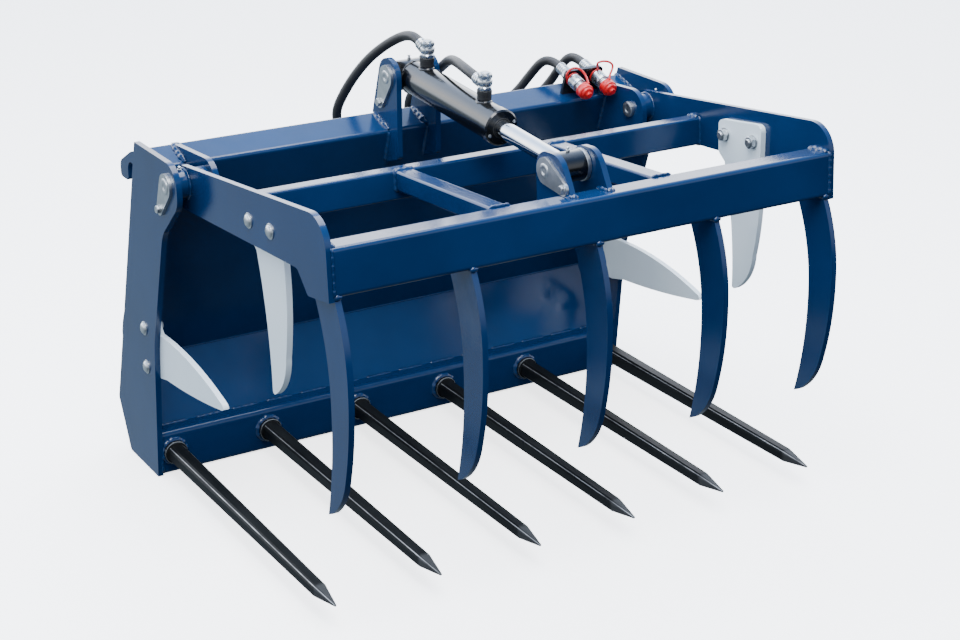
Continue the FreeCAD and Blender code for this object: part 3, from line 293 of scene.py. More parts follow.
# The tines' spacing, the height of their axes, and where their tips start
TINE_PITCH, TINE_LEVEL, TIP_START = 0.224, 0.053, -0.748
# how far the tip's colour is turned toward steel grey and metal
TIP_LIGHTENING = 0.06
MATERIALS = {
    # navy powder coat of the frame and the jaw
    "blue_paint": powder_coated("navy_powder_coat", "#04264b", "#072d56", 0.13),
    # light grey powder coat of the side blades
    "grey_paint": powder_coated("light_grey_powder_coat", "#d3e0e7", "#dce8ed", 0.3),
    # black gloss paint of the cylinder and its eyes
    "black_paint": powder_coated("black_gloss_paint", "#050607", "#0a0b0c", 0.2,
                                 waves=0.0002, coat=0.5),
    # lacquered forged nuts and collars of the tines
    "black_steel": forged("black_forged_steel"),
    # bright zinc plate on pins, keepers, bolts and fittings
    "zinc": plated("bright_zinc_plate", "#b2b7b9", "#c9cdcf", 0.33),
    # ground hard chrome of the piston rod
    "chrome": plated("hard_chrome", "#d6d8da", "#e2e3e4", 0.08, 500.0, 0.000004),
    # soft red plastic of the dust caps
    "red_plastic": moulded("red_cap_plastic", "#b80f14", "#cc161c", 0.3),
    # hydraulic hose cover
    "hose_rubber": wrapped_rubber("hose_cover_rubber"),
}
# the same plate where it is smoother, on machined hydraulic fittings
TURNED_ZINC = plated("turned_zinc_plate", "#b4b9bc", "#ccd0d3", 0.25, 420.0, 0.000006)
# the forged steel of the tines, with a painted highlight line along each corner and a lighter tip
PAINTED_HIGHLIGHT_TINE = forged("forged_tine_painted_highlight", with_painted_highlight=True)
SLOT_OF = {item["node"]: item["material_slot"] for item in frame["record"]["subparts"]}
FINE_SLOTS = ("zinc", "red_plastic", "chrome")


def dress_cad():
    """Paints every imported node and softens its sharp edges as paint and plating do."""
    for name, node in NODES.items():
        slot = SLOT_OF[name]
        tine = name.startswith("lower_tine")
        node.data.materials.clear()
        # the tines get the forged steel with a painted highlight along each corner
        node.data.materials.append(PAINTED_HIGHLIGHT_TINE if tine else MATERIALS[slot])
        node.data.polygons.foreach_set("material_index", [0] * len(node.data.polygons))
        edge = node.modifiers.new("edge", "BEVEL")
        edge.width = 0.0004 if slot in FINE_SLOTS else 0.0011
        edge.segments = 2
        edge.limit_method = "ANGLE"
        edge.angle_limit = math.radians(40)
        edge.harden_normals = True
        edge.use_clamp_overlap = True


dress_cad()


# Mesh helpers. Pieces are laid out in millimetres in one of the frames above
def make(name, mesh_maker, body, slot, at=WORLD, unit=MILLIMETRE, sharp=35, finish=None):
    """An object from a function that fills a bmesh, placed, painted and set on its body."""
    mesh = bpy.data.meshes.new(name)
    work = bmesh.new()
    mesh_maker(work)
    bmesh.ops.recalc_face_normals(work, faces=work.faces)
    work.transform(at @ Matrix.Scale(unit, 4))
    work.to_mesh(mesh)
    work.free()
    mesh.polygons.foreach_set("use_smooth", [True] * len(mesh.polygons))
    mesh.set_sharp_from_angle(angle=math.radians(sharp))
    mesh.materials.append(finish or MATERIALS[slot])
    piece = bpy.data.objects.new(name, mesh)
    bpy.context.scene.collection.objects.link(piece)
    if body:
        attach(piece, body)
    return piece


def upright(point, way, roll=0.0):
    """The frame whose Z points along way, at a point."""
    turn = Vector(way).normalized().to_track_quat("Z", "Y").to_matrix().to_4x4()
    return Matrix.Translation(point) @ turn @ Matrix.Rotation(roll, 4, "Z")


def join_rings(work, rings, closed=False):
    """Faces between neighbouring rings of points. A ring of one point closes an end."""
    for low, high in zip(rings, rings[1:] + (rings[:1] if closed else [])):
        if low is rings[-1] and not closed:
            break
        count = max(len(low), len(high))
        for step in range(count):
            after = (step + 1) % count
            corners = [low[step % len(low)], low[after % len(low)],
                       high[after % len(high)], high[step % len(high)]]
            corners = list(dict.fromkeys(corners))
            if len(corners) > 2:
                work.faces.new(corners)


def add_turned(work, profile, at=WORLD, segments=40):
    """A body of revolution about local Z from (radius, height) points."""
    rings = []
    for radius, height in profile:
        count = segments if radius > 0 else 1
        rings.append([work.verts.new(at @ Vector((radius * math.cos(step * math.tau / count),
                                                  radius * math.sin(step * math.tau / count),
                                                  height))) for step in range(count)])
    join_rings(work, rings, closed=profile[0][0] > 0)


def add_nut(work, width, height, at=WORLD, chamfer=0.12):
    """A hexagon by its width across flats, its ends chamfered by a cone as a real nut's."""
    segments, flat = 48, width / 2
    corner = flat / math.cos(math.pi / 6)
    drop = corner * chamfer
    rings = [[work.verts.new(at @ Vector((0, 0, 0)))]]
    for end, radius in ((0, flat * 0.96), (0, corner), (1, corner), (1, flat * 0.96)):
        ring = []
        for step in range(segments):
            angle = step * math.tau / segments
            reach, level = radius, height * end
            if radius == corner:
                reach = flat / math.cos(angle % (math.pi / 3) - math.pi / 6)
                level += (1 - 2 * end) * drop * (0.25 + 0.75 * (reach - flat) / (corner - flat))
            ring.append(work.verts.new(at @ Vector((reach * math.cos(angle),
                                                    reach * math.sin(angle), level))))
        rings.append(ring)
    rings.append([work.verts.new(at @ Vector((0, 0, height)))])
    join_rings(work, rings)


def add_tube(work, path, radius, sides=24):
    """A round tube along points, with flat ends."""
    rings = []
    normal = Vector((1, 0.01, 0.02))
    for index, point in enumerate(path):
        way = (path[min(index + 1, len(path) - 1)] - path[max(index - 1, 0)]).normalized()
        normal = (normal - way * normal.dot(way)).normalized()
        across = way.cross(normal)
        rings.append([work.verts.new(point + radius * (
            normal * math.cos(side * math.tau / sides)
            + across * math.sin(side * math.tau / sides))) for side in range(sides)])
    join_rings(work, rings)
    work.faces.new(rings[0])
    work.faces.new(list(reversed(rings[-1])))


def centre_line(route, fineness=16):
    """The line of one NURBS spline that has the route as its points."""
    curve = bpy.data.curves.new("route", "CURVE")
    curve.dimensions = "3D"
    curve.resolution_u = fineness
    spline = curve.splines.new("NURBS")
    spline.points.add(len(route) - 1)
    for point, place in zip(spline.points, route):
        point.co = (*place, 1)
    spline.order_u = 3
    spline.use_endpoint_u = True
    holder = bpy.data.objects.new("route", curve)
    bpy.context.scene.collection.objects.link(holder)
    bpy.context.view_layer.update()
    line = bpy.data.meshes.new_from_object(holder.evaluated_get(
        bpy.context.evaluated_depsgraph_get()))
    points = [vertex.co.copy() for vertex in line.vertices]
    bpy.data.objects.remove(holder)
    bpy.data.meshes.remove(line)
    return points


# Weld beads: the length of a puddle's scale and its depth as a share of the bead. Beads
# thicker than FULL_RIPPLE are smoother, as they were laid hotter
RIPPLE = 5.0
RIPPLE_DEPTH = 0.24
FULL_RIPPLE = 4.5
BEAD_SIDES = 8


def divide(points, step, closed):
    """Points about one step apart along a line."""
    points = [Vector(point) for point in points]
    if closed:
        points.append(points[0])
    path = []
    for start, end in zip(points, points[1:]):
        count = max(1, round((end - start).length / step))
        path += [start.lerp(end, index / count) for index in range(count)]
    return path if closed else path + [points[-1]]


def add_bead(work, points, radius, out, closed=False):
    """A weld bead: a flattened roll with the overlapping scales that each puddle leaves."""
    step = RIPPLE / 3
    path = divide(points, step, closed)
    rings, length = [], 0.0
    for index, point in enumerate(path):
        ahead = path[(index + 1) % len(path)] if closed else path[min(index + 1, len(path) - 1)]
        behind = path[index - 1] if (index or closed) else path[0]
        way = (ahead - behind).normalized()
        length += (point - behind).length
        toward = out(point) if callable(out) else Vector(out)
        normal = (toward - way * toward.dot(way)).normalized()
        across = way.cross(normal)
        beat = (length / RIPPLE) % 1.0
        wobble = 1 + 0.1 * math.sin(length * 0.41) + 0.07 * math.sin(length * 0.133 + 1.7)
        scale = RIPPLE_DEPTH * min(1.0, (FULL_RIPPLE / radius) ** 3)
        reach = radius * wobble * (1.04 - scale + scale * math.sqrt(beat))
        if not closed:
            end = min(index, len(path) - 1 - index) * step
            reach *= min(1.0, 0.5 + end / radius * 0.4)
        rings.append([work.verts.new(
            point + normal * (reach * 0.7 * math.cos(side * math.tau / BEAD_SIDES))
            + across * (reach * math.sin(side * math.tau / BEAD_SIDES)))
            for side in range(BEAD_SIDES)])
    join_rings(work, rings, closed)
    if not closed:
        work.faces.new(rings[0])
        work.faces.new(list(reversed(rings[-1])))


def run(start, end, radius, out):
    """A straight bead."""
    return [start, end], radius, out, False


def ring_bead(centre, axis, ring_radius, radius):
    """A bead round a tube that stands on a flat face."""
    at = upright(Vector(centre), axis)
    points = [at @ Vector((ring_radius * math.cos(step * math.tau / 40),
                           ring_radius * math.sin(step * math.tau / 40), 0))
              for step in range(40)]
    middle, way = Vector(centre), Vector(axis)
    return points, radius, lambda point: (point - middle).normalized() + way, True


def section_bead(axis, level, low, high, corner, face, radius):
    """A bead round the end of a box section that meets a flat face at a level of one axis."""
    half = ((high[0] - low[0]) / 2, (high[1] - low[1]) / 2)
    middle = (low[0] + half[0], low[1] + half[1])
    points = []
    for number, (to_a, to_b) in enumerate(((1, 1), (-1, 1), (-1, -1), (1, -1))):
        for step in range(5):
            angle = math.radians(90 * number + 22.5 * step)
            pair = (middle[0] + to_a * (half[0] - corner) + corner * math.cos(angle),
                    middle[1] + to_b * (half[1] - corner) + corner * math.sin(angle))
            points.append((level, *pair) if axis == "x" else (pair[0], level, pair[1]))

    def outward(point):
        a, b = (point.y, point.z) if axis == "x" else (point.x, point.z)
        a, b = ((a - middle[0]) / half[0]) ** 5, ((b - middle[1]) / half[1]) ** 5
        size = math.hypot(a, b)
        return Vector((face, a / size, b / size) if axis == "x" else (a / size, face, b / size))
    return points, radius, outward, True


def saddle_bead(y, tube_radius, barrel_radius, radius):
    """A bead where a tube along Z stands on a barrel along Y."""
    points = []
    for step in range(36):
        angle = step * math.tau / 36
        x, along = tube_radius * math.cos(angle), tube_radius * math.sin(angle)
        points.append((x, y + along, math.sqrt(barrel_radius ** 2 - x ** 2)))
    return points, radius, lambda point: Vector((point.x, point.y - y, 0)).normalized() + Vector(
        (0, 0, 1)), True


def welds(name, body, at, beads, slot="blue_paint"):
    """One object of beads on a body, under the same paint."""
    def fill(work):
        for bead in beads:
            add_bead(work, *bead)
    return make(name, fill, body, slot, at, sharp=60)


def back_welds():
    """Beads that are square to the leaning back of the frame."""
    beads = []
    for side in (-1, 1):
        for inner, foot in ((41, -94), (507, -104)):
            for x, face in ((inner, -side), (inner + 12, side)):
                beads.append(run((side * x, -8, -16), (side * x, -76, -16), 10, (face, 0, 1)))
                beads.append(run((side * x, -80, -20), (side * x, -80, foot), 6, (face, -1, 0)))
        beads.append(section_bead("x", side * PLATE_FACE, (-80, -116), (0, -16), 8, -side, 6))
        beads.append(run((side * PLATE_FACE, -24, -120), (side * PLATE_FACE, -24, -546), 4,
                         (-side, -1, 0)))
    for x in range(-560, 560, 116):
        beads.append(run((x, -24, -116), (x + 52, -24, -116), 4, (0, -1, -1)))
        beads.append(run((x, -19, -116), (x + 52, -19, -116), 4, (0, 1, -1)))
    welds("back_welds", "frame", BACK, beads)


def base_welds():
    """Beads of the bottom beam, the apron and the tine sockets."""
    beads = []
    for side in (-1, 1):
        beads.append(section_bead("x", side * PLATE_FACE, (-50, 6), (50, 100), 10, -side, 5))
        beads.append(run((side * PLATE_FACE, -8, 104), (side * PLATE_FACE, 100, 219), 4,
                         (-side, -0.7, 0.7)))
    for x in range(-572, 560, 84):
        beads.append(run((x, -11, 100), (x + 62, -11, 100), 4, (0, -1, 1)))
    beads.append(run((-586, 101, 220), (586, 101, 220), 2.2, (0, -1, 0.5)))
    for x in SOCKETS:
        beads.append(ring_bead((x, -50, 53), (0, -1, 0), 27, 7.5))
        beads.append(ring_bead((x, 50, 53), (0, 1, 0), 26, 3))
    welds("base_welds", "frame", WORLD, beads)


def jaw_welds():
    """Beads of the jaw's arms, bars, struts, ears, bushes and tines."""
    beads = []
    for side in (-1, 1):
        for x, face in ((35, -side), (47, side)):
            beads.append(run((side * x, -597, 7), (side * x, -563, 7), 8.5, (face, 0, 1)))
            beads.append(run((side * x, -561, 5), (side * x, -561, -53), 6, (face, 1, 0)))
        beads.append(run((side * 33, -598, 8), (side * 49, -598, 8), 7.5, (0, -1, 1)))
        for low, high, corner in (((-621, -83), (-561, 7), 8), ((-200, -53), (-160, 7), 5)):
            beads.append(section_bead("x", side * ARM_IN, low, high, corner, -side, 4))
            beads.append(run((side * 547, low[0] + 5, 7), (side * 547, high[0] - 4, 7), 11,
                             (-side, 0, 2)))
        strut = ((side * 181 - 20, -33), (side * 181 + 20, 7))
        beads.append(section_bead("y", -200, *strut, 5, -1, 5.5))
        beads.append(section_bead("y", -561, *strut, 5, 1, 5.5))
        beads.append(ring_bead((side * ARM_OUT, 0, 0), (side, 0, 0), 30, 4.5))
        beads.append(ring_bead((side * ARM_IN, 0, 0), (-side, 0, 0), 30, 4.5))
    for middle in CLAWS:
        for face in (-1, 1):
            x = middle + 6 * face
            if abs(x) < 550:
                beads.append(run((x, -617, -83), (x, -562, -83), 6, (face, 0, -1)))
                beads.append(run((x, -561, -82), (x, -561, -46), 6, (face, 1, 0)))
        beads.append(run((middle - 6, -560, -45), (middle + 6, -560, -45), 4, (0, 1, 1)))
        beads.append(run((middle - 8, -619, -83), (middle + 8, -619, -83), 7, (0, -1, -0.4)))
    welds("jaw_welds", "jaw", JAW, beads)


def cylinder_welds():
    """Beads of the ports and of both eyes."""
    beads = [saddle_bead(port, 14.5, 36, 3.5) for port in PORTS]
    beads.append(ring_bead((0, -25, 0), (0, 1, 0), 34.5, 4))
    welds("barrel_welds", "barrel", CYLINDER, beads, "black_paint")
    points = []
    for step in range(36):
        x = 18.3 * math.cos(step * math.tau / 36)
        z = 18.3 * math.sin(step * math.tau / 36)
        points.append((x, PIN_SPAN + math.sqrt(30 ** 2 - z ** 2), z))
    welds("rod_weld", "rod", CYLINDER,
          [(points, 3.5, lambda point: Vector((point.x / 18, 1, point.z / 18)), True)],
          "black_paint")


# Fasteners
def add_thread(work, radius, start, end, at):
    """A bolt's end with its thread, as ridges of a 1.5 mm pitch, and a chamfer."""
    profile, height = [(0, start), (radius - 0.9, start)], start
    while height + 1.5 < end:
        profile += [(radius, height + 0.75), (radius - 0.9, height + 1.5)]
        height += 1.5
    profile += [(radius - 1.2, end), (0, end)]
    add_turned(work, profile, at)


def add_round_bolt(work, outer, inner, side, y, z, at):
    """A flanged round head on the outer face, washer, nut and thread end on the inner one."""
    outside = at @ upright(Vector((side * outer, y, z)), (side, 0, 0))
    head = [(0, -2), (15, -2), (15, 1.4), (14.6, 1.9), (12.6, 2.1)]
    head += [(12.2 * math.cos(math.radians(turn)), 2.4 + 5.4 * math.sin(math.radians(turn)))
             for turn in (8, 24, 40, 56, 72, 84)]
    add_turned(work, head + [(0, 7.8)], outside)
    inside = at @ upright(Vector((side * inner, y, z)), (-side, 0, 0), 0.3 * y)
    add_turned(work, [(0, -1), (14.6, -1), (14.8, 1.6), (14.4, 1.9), (0, 1.9)], inside)
    add_nut(work, 24, 11.1, inside @ Matrix.Translation((0, 0, 1.9)))
    add_thread(work, 8, 12, 17, inside)


def blade_bolts():
    """Two bolts through each side blade and the plate or arm that carries it."""
    def lower(work):
        for side in (-1, 1):
            for z in (339, 251):
                add_round_bolt(work, 600, 576, side, -28, z, WORLD)

    def upper(work):
        for side in (-1, 1):
            for y in (-303, -396):
                add_round_bolt(work, ARM_OUT, 539, side, y, -10, WORLD)
    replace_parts(make("lower_bolts", lower, "frame", "zinc"), "lower_blade_bolts")
    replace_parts(make("upper_bolts", upper, "jaw", "zinc", JAW), "upper_blade_bolts")


def add_cap_screw(work, x, side, y, z):
    """A hexagon head on its washer, for the tail of a keeper."""
    at = upright(Vector((side * x, y, z)), (side, 0, 0), y)
    add_turned(work, [(0, -13), (5, -13), (5, 0), (8.8, 0), (9, 0.3), (9, 1.2), (0, 1.4)], at)
    add_nut(work, 15.2, 5.4, at @ Matrix.Translation((0, 0, 1.2)), 0.16)


def add_pin_face(work, x, side, y, z, radius):
    """The turned end of a pin: a chamfered rim round a drilled middle."""
    at = upright(Vector((side * x, y, z)), (side, 0, 0))
    add_turned(work, [(radius * 0.34, -0.6), (radius - 0.4, -0.6), (radius - 0.4, 0.7),
                      (radius - 1.6, 1.5), (radius * 0.5, 1.5), (radius * 0.34, 0.5)], at)


def pins():
    """The keepers' screws and the turned ends of the pins."""
    keeper_bolts = [(606, side, -174.54, 645.34) for side in (-1, 1)] + [(59, -1, -82.76, 766.39)]

    def frame_bolts(work):
        for x, side, y, z in keeper_bolts:
            add_cap_screw(work, x, side, y, z)

    def front_bolt(work):
        add_cap_screw(work, 53, -1, -783.8, 761.5)

    def frame_faces(work):
        for side in (-1, 1):
            add_pin_face(work, 606, side, -210, 701, 17.5)
            add_pin_face(work, -500, -side, -210, 701, 17.5)
            add_pin_face(work, 59, side, *REAR_EYE, 15)

    def jaw_faces(work):
        for side in (-1, 1):
            add_pin_face(work, 53, side, *FRONT_EYE, 15)
    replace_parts(make("keeper_screws", frame_bolts, "frame", "zinc"), "keeper_bolts")
    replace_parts(make("front_keeper_screw", front_bolt, "jaw", "zinc"), "front_keeper_bolt")
    make("pin_faces", frame_faces, "frame", "zinc")
    make("front_pin_faces", jaw_faces, "jaw", "zinc")


def tine_fasteners():
    """Nuts behind the bottom beam, and a ring and a collar where each tine leaves it."""
    def nuts(work):
        for number, x in enumerate(SOCKETS):
            at = upright(Vector((x, 53, 53)), (0, 1, 0), 0.4 * number)
            add_turned(work, [(0, 0), (22.6, 0), (23, 0.5), (23, 3.2), (0, 3.4)], at)
            add_nut(work, 40.5, 16.6, at @ Matrix.Translation((0, 0, 3.4)))
            add_thread(work, 11.3, 18, 31.8, at)

    def roots(work):
        for x in SOCKETS:
            at = upright(Vector((x, -61.6, 53)), (0, -1, 0))
            add_turned(work, [(24, -1), (25.6, -1), (26.1, 0.2), (25.6, 1.5), (24.6, 1.8),
                              (24, 1.2)], at)

    def collars(work):
        for x in SOCKETS:
            at = upright(Vector((x, -61.6, 53)), (0, -1, 0))
            add_turned(work, [(16, -1), (24.2, -1), (24, 0.8), (22, 2.6), (16, 3.4)], at)
    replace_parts(make("tine_nuts_and_washers", nuts, "frame", "black_steel"), "tine_nuts")
    make("tine_root_rings", roots, "frame", "zinc")
    make("tine_root_collars", collars, "frame", "black_steel")


# Hydraulic fittings
def add_nipple(work, at):
    """A grease nipple: hexagon, neck and ball."""
    add_nut(work, 7.4, 4, at)
    add_turned(work, [(0, 3), (2.4, 3), (2.2, 6), (3.2, 7.2), (3.2, 8.6), (2, 9.8), (0, 9.8)],
               at, 16)


def nipples():
    """Grease nipples on the cylinder's eyes and on the arms' bushes."""
    def on_barrel(work):
        add_nipple(work, upright(Vector((0, 3, 31.6)), (0, 0.1, 1)))

    def on_rod(work):
        add_nipple(work, upright(Vector((0, PIN_SPAN + 2, 29.6)), (0, 0.1, 1)))

    def on_jaw(work):
        for side in (-1, 1):
            add_nipple(work, upright(Vector((side * 574, -6, 28.6)), (0, -0.2, 1)))
    make("barrel_eye_nipple", on_barrel, "barrel", "zinc", CYLINDER)
    make("rod_eye_nipple", on_rod, "rod", "zinc", CYLINDER)
    make("bush_nipples", on_jaw, "jaw", "zinc", JAW)


def crimped(radius, start, end, rows):
    """The profile of a hose ferrule pressed in rows, from start to end."""
    profile, pitch = [(radius - 0.8, start)], (end - start) / rows
    for row in range(rows):
        near = start + row * pitch
        profile += [(radius, near + 0.6), (radius, near + pitch * 0.55),
                    (radius - 0.9, near + pitch * 0.68), (radius - 0.9, near + pitch * 0.92)]
    return profile + [(radius - 0.8, end)]


def port_fittings():
    """On each port a swivel nut, a round body with the hose's ferrule, and a hexagon cap."""
    def steel(work):
        for port in PORTS:
            at = Matrix.Translation((0, port, 0))
            add_nut(work, 27, 9, at @ Matrix.Translation((0, 0, 58)), 0.22)
            add_turned(work, [(0, 66), (12.6, 66), (12.6, 68), (14.4, 68.8), (15.3, 70.5),
                              (15.3, 77.5), (14.4, 79.4), (12.4, 80.2), (12.4, 82), (0, 82)], at)
            add_nut(work, 26, 11, at @ Matrix.Translation((0, 0, 81.5)) @ Matrix.Rotation(
                0.35, 4, "Z"), 0.24)
            add_turned(work, [(0, 92), (9.5, 92), (9, 94.4), (8, 95), (0, 95)], at)
            tilt = math.radians(FERRULE_TILTS[port])
            lying = at @ upright(Vector((0, 0, 70)), (0, math.cos(tilt), math.sin(tilt)))
            add_turned(work, [(0, 0), (10.5, 0), (10.5, 14), (0, 14)], lying)
            add_turned(work, [(0, 13)] + crimped(12.9, 13, 32, 3) + [(0, 32)], lying)

    def seals(work):
        for port in PORTS:
            add_turned(work, [(0, 40), (14.7, 40), (14.7, 48.5), (15.3, 49), (15.4, 57.4),
                              (14.8, 58.2), (0, 58.2)], Matrix.Translation((0, port, 0)))
    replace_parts(make("port_elbows", steel, "barrel", "zinc", CYLINDER, finish=TURNED_ZINC),
                "hose_fittings")
    make("port_collars", seals, "barrel", "black_paint", CYLINDER,
         finish=MATERIALS["hose_rubber"])


def eye_spacers():
    """A bright ring at each end of the rod's eye, between it and the jaw's ears."""
    def rings(work):
        for side in (-1, 1):
            at = upright(Vector((0, PIN_SPAN, 0)), (side, 0, 0))
            add_turned(work, [(29, 26.5), (30.8, 26.5), (31.6, 27.2), (31.6, 33.6),
                              (31, 34.4), (29, 34.4)], at)
    make("eye_spacers", rings, "rod", "zinc", CYLINDER)


def gland_details():
    """The rod's wiper and the gland's two screws."""
    def wiper(work):
        add_turned(work, [(18.4, 374), (21.4, 374), (21.4, 375.8), (20.4, 376.4), (18.4, 376.2)],
                   upright(Vector((0, 0, 0)), (0, -1, 0)))

    def screws(work):
        for turn in (20, 205):
            angle = math.radians(turn)
            at = upright(Vector((30 * math.cos(angle), -376, 30 * math.sin(angle))), (0, -1, 0))
            add_turned(work, [(1.6, 0.2), (1.6, 1.8), (3.4, 1.8), (3.6, 1.4), (3.6, -1), (0, -1),
                              (0, 0.2)], at, 20)
    make("rod_wiper", wiper, "barrel", "hose_rubber", CYLINDER)
    make("gland_screws", screws, "barrel", "zinc", CYLINDER)


def couplers():
    """Quick couplers: crimped ferrule, hexagon, sleeve with its grip rings, and red caps."""
    spots = [BACK @ Matrix.Scale(MILLIMETRE, 4) @ upright(Vector((x, 0, 24)), (0, -1, 0))
             for x in COUPLERS]

    def steel(work):
        for at in spots:
            add_turned(work, [(0, 0)] + crimped(12.9, 0, 27, 4) + [(11.4, 28.4), (0, 28.4)], at)
            add_nut(work, 27.6, 13.6, at @ Matrix.Translation((0, 0, 28.2)))
            sleeve = [(0, 50), (13.4, 50), (13.4, 57), (15.6, 57.6), (16.4, 58.6), (16.4, 63)]
            for ridge in range(4):
                start = 63.5 + ridge * 3.4
                sleeve += [(15.3, start), (15.3, start + 1.4), (16.4, start + 1.9),
                           (16.4, start + 3.2)]
            add_turned(work, sleeve + [(16.4, 82.6), (15.6, 84), (13.2, 84.2), (13.2, 88),
                                       (12.2, 88.6), (12.2, 91), (13.2, 91.6), (13.2, 98),
                                       (0, 98)], at)

    def caps(work):
        for number, at in enumerate(spots):
            add_turned(work, [(0, 98.4), (13.4, 98.4), (13.4, 96.4), (17, 96.4), (18, 97.4),
                              (18, 101), (17.3, 101.8), (17.3, 110), (18, 111), (17.4, 113.6),
                              (14.6, 115.4), (13.8, 119), (12.6, 120.2), (8.4, 120.6),
                              (7, 121.6), (7, 125.6), (6, 127), (0, 127)], at, 48)
            ring = [at @ Vector((14.9 * math.cos(step * math.tau / 36),
                                 14.9 * math.sin(step * math.tau / 36), 54))
                    for step in range(37)]
            add_tube(work, ring, 0.0018, 10)
            add_tube(work, centre_line([at @ Vector(point) for point in LEASHES[number]], 8),
                     0.0025, 10)
    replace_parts(make("hose_couplers", steel, "frame", "zinc", unit=1, finish=TURNED_ZINC),
                "quick_couplers")
    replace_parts(make("coupler_caps", caps, "frame", "red_plastic", unit=1), "dust_caps")


back_welds()
base_welds()
jaw_welds()
cylinder_welds()
blade_bolts()
pins()
tine_fasteners()
nipples()
port_fittings()
eye_spacers()
gland_details()
couplers()


# Hoses: each is one smooth line through the route that the part's own tube takes
REAR_HOSE = [
    (0, -0.1604, 0.90333), (0, -0.1425, 0.9102), (0, -0.114, 0.9102),
    (-0.004, -0.084, 0.9022), (-0.021, -0.048, 0.88), (-0.044, -0.012, 0.846),
    (-0.062, 0.022, 0.803), (-0.075, 0.05, 0.76), (-0.084, 0.076, 0.714),
    (-0.07, 0.094, 0.67), (-0.03, 0.104, 0.632), (0.026, 0.108, 0.61), (0.092, 0.108, 0.6),
    (0.16, 0.104, 0.6), (0.226, 0.098, 0.61), (0.284, 0.084, 0.632), (0.338, 0.068, 0.664),
    (0.376, 0.052, 0.702), (0.395, 0.028, 0.744), (0.408, -0.003, 0.782),
    (0.424, -0.0284, 0.78026), (0.424, -0.051234, 0.772884)]
FRONT_HOSE = [
    (0, -0.38952, 0.87888), (0, -0.3645, 0.8838), (0.006, -0.325, 0.887),
    (0.018, -0.277, 0.886), (0.036, -0.226, 0.877), (0.055, -0.176, 0.86),
    (0.07, -0.124, 0.834), (0.076, -0.072, 0.806), (0.076, -0.027, 0.78),
    (0.077, 0.011, 0.752), (0.079, 0.039, 0.72), (0.088, 0.054, 0.684),
    (0.108, 0.062, 0.652), (0.146, 0.064, 0.632), (0.198, 0.062, 0.624),
    (0.252, 0.058, 0.626), (0.306, 0.052, 0.636), (0.362, 0.046, 0.654),
    (0.414, 0.04, 0.68), (0.449, 0.03, 0.716), (0.463, 0.01, 0.756),
    (0.473, -0.011, 0.783), (0.487, -0.0284, 0.78026), (0.487, -0.051234, 0.772884)]
HOSE_DIAMETER = 0.021


def add_hose(name, node, route):
    """A hose along one smooth line through the route, in place of the part's own tube."""
    path = centre_line(route)
    hose = make(name, lambda work: add_tube(work, path, HOSE_DIAMETER / 2), None,
                "hose_rubber", unit=1)
    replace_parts(hose, node)
    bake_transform(hose)


add_hose("rear_hose", "rear_port_hose", REAR_HOSE)
add_hose("front_hose", "front_port_hose", FRONT_HOSE)


# Studio: a pale floor and soft light. The floor neither mirrors in the paint nor throws light
# up at it, as under the photographed one
def add_floor():
    """A wide pale floor just under the tines."""
    mesh = bpy.data.meshes.new("floor")
    work = bmesh.new()
    bmesh.ops.create_grid(work, x_segments=1, y_segments=1, size=30)
    work.to_mesh(mesh)
    work.free()
    material, tree, where = start_material("studio_floor")
    shade = add_node(tree, "TexNoise", [(where, "Vector")], Scale=0.6, Detail=2.0)
    colour = add_node(tree, "ValToRGB", [(shade, "Fac")], [(0.3, "#f4f5f5"), (0.7, "#f7f7f7")])
    shader = add_node(tree, "BsdfPrincipled", [(colour, "Base Color")], Roughness=0.9,
                      Specular_IOR_Level=0.1, Emission_Color=srgb("#ffffff"),
                      Emission_Strength=FLOOR_LIGHT)
    add_node(tree, "OutputMaterial", [(shader, "Surface")])
    mesh.materials.append(material)
    floor = bpy.data.objects.new("floor", mesh)
    floor.location = (0, 0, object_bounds()[0][2] - 0.0005)
    floor.visible_glossy = False
    floor.visible_diffuse = False
    bpy.context.scene.collection.objects.link(floor)


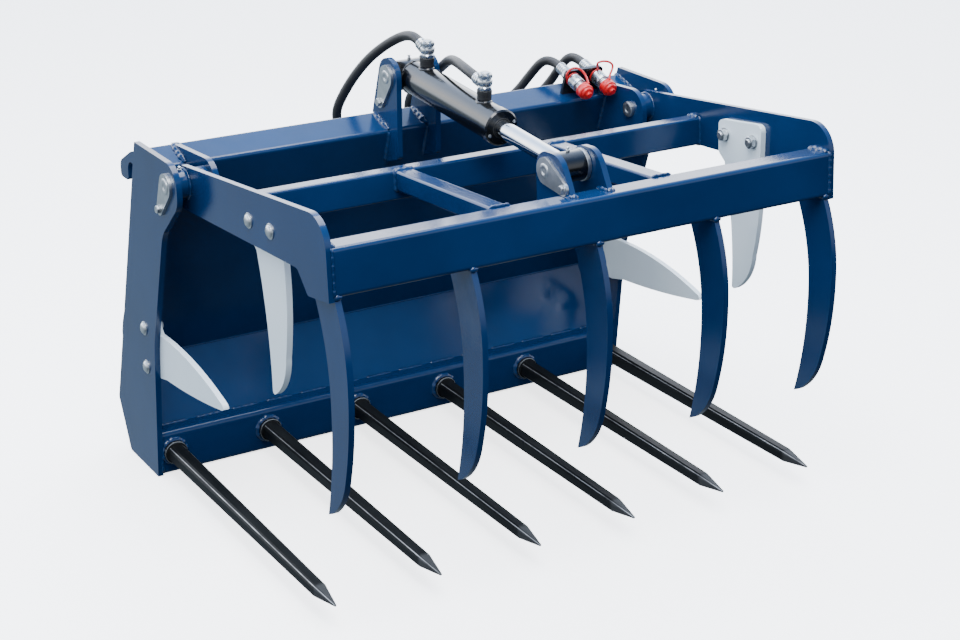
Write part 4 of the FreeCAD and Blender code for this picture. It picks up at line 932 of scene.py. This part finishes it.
def add_world():
    """A bright wall behind, a greyer one in front, and dark ground that is lighter behind."""
    world = bpy.data.worlds.new("studio")
    bpy.context.scene.world = world
    world.use_nodes = True
    tree = world.node_tree
    tree.nodes.clear()
    where = add_node(tree, "TexCoord").outputs["Generated"]
    height = add_node(tree, "SeparateXYZ", [(where, "Vector")]).outputs["Z"]
    share_behind = add_node(tree, "VectorMath", [(where, 0), ((0.35, 0.94, 0.0), 1)],
                            operation="DOT_PRODUCT")
    behind = add_node(tree, "MapRange", [(share_behind.outputs["Value"], "Value")],
                      From_Min=-0.25, From_Max=0.6)
    far = add_node(tree, "ValToRGB", [(height, "Fac")],
                   [(0.0, "#dfe8f5"), (1.0, "#b9c4d4"), (0.3, "#ffffff"), (0.5, "#dbe7fb"),
                    (0.72, "#8fa5c8")])
    near = add_node(tree, "ValToRGB", [(height, "Fac")],
                    [(0.0, "#a6abb4"), (1.0, "#8da5c6"), (0.3, "#b4bac4"), (0.55, "#8095b5"),
                     (0.77, "#4a74b0")])
    wall = add_node(tree, "MixRGB", [(behind, "Fac"), (near, "Color1"), (far, "Color2")])
    share_left = add_node(tree, "VectorMath", [(where, 0), ((-0.5, 0.87, 0.0), 1)],
                          operation="DOT_PRODUCT")
    left = add_node(tree, "MapRange", [(share_left.outputs["Value"], "Value")], From_Min=-1.0,
                    From_Max=1.0)
    ground = add_node(tree, "ValToRGB", [(left, "Fac")], [(0.1, "#1b1e22"), (0.95, "#7d8b96")])
    above = add_node(tree, "MapRange", [(height, "Value")], From_Min=-0.08, From_Max=0.06)
    colour = add_node(tree, "MixRGB", [(above, "Fac"), (ground, "Color1"), (wall, "Color2")])
    lit = add_node(tree, "Math", [(behind, 0), (above, 1)], operation="MULTIPLY")
    strength = add_node(tree, "MapRange", [(lit, "Value")], To_Min=WALL_LIGHT,
                        To_Max=SKY_LIGHT)
    light = add_node(tree, "Background", [(colour, "Color"), (strength, "Strength")])
    add_node(tree, "OutputWorld", [(light, "Surface")])


def add_area(name, place, target, size, power):
    """A soft lamp that faces a target."""
    data = bpy.data.lights.new(name, "AREA")
    data.shape = "RECTANGLE"
    data.size, data.size_y = size
    data.energy = power
    lamp = bpy.data.objects.new(name, data)
    lamp.location = place
    lamp.rotation_euler = (Vector(target) - Vector(place)).to_track_quat("-Z", "Y").to_euler()
    bpy.context.scene.collection.objects.link(lamp)


FLOOR_LIGHT, WALL_LIGHT, SKY_LIGHT = 2.6, 2.2, 5.2
add_floor()
add_world()
add_area("ceiling", (0, 0.2, 4.2), (0, 0, 0), (3, 3), 230)
add_area("front_top", (-1.2, -2.2, 4.0), (0, -0.3, 0.3), (2.4, 2.4), 225)
add_area("left", (-4.5, 0.3, 2.2), (0, -0.2, 0.4), (3, 2.4), 45)
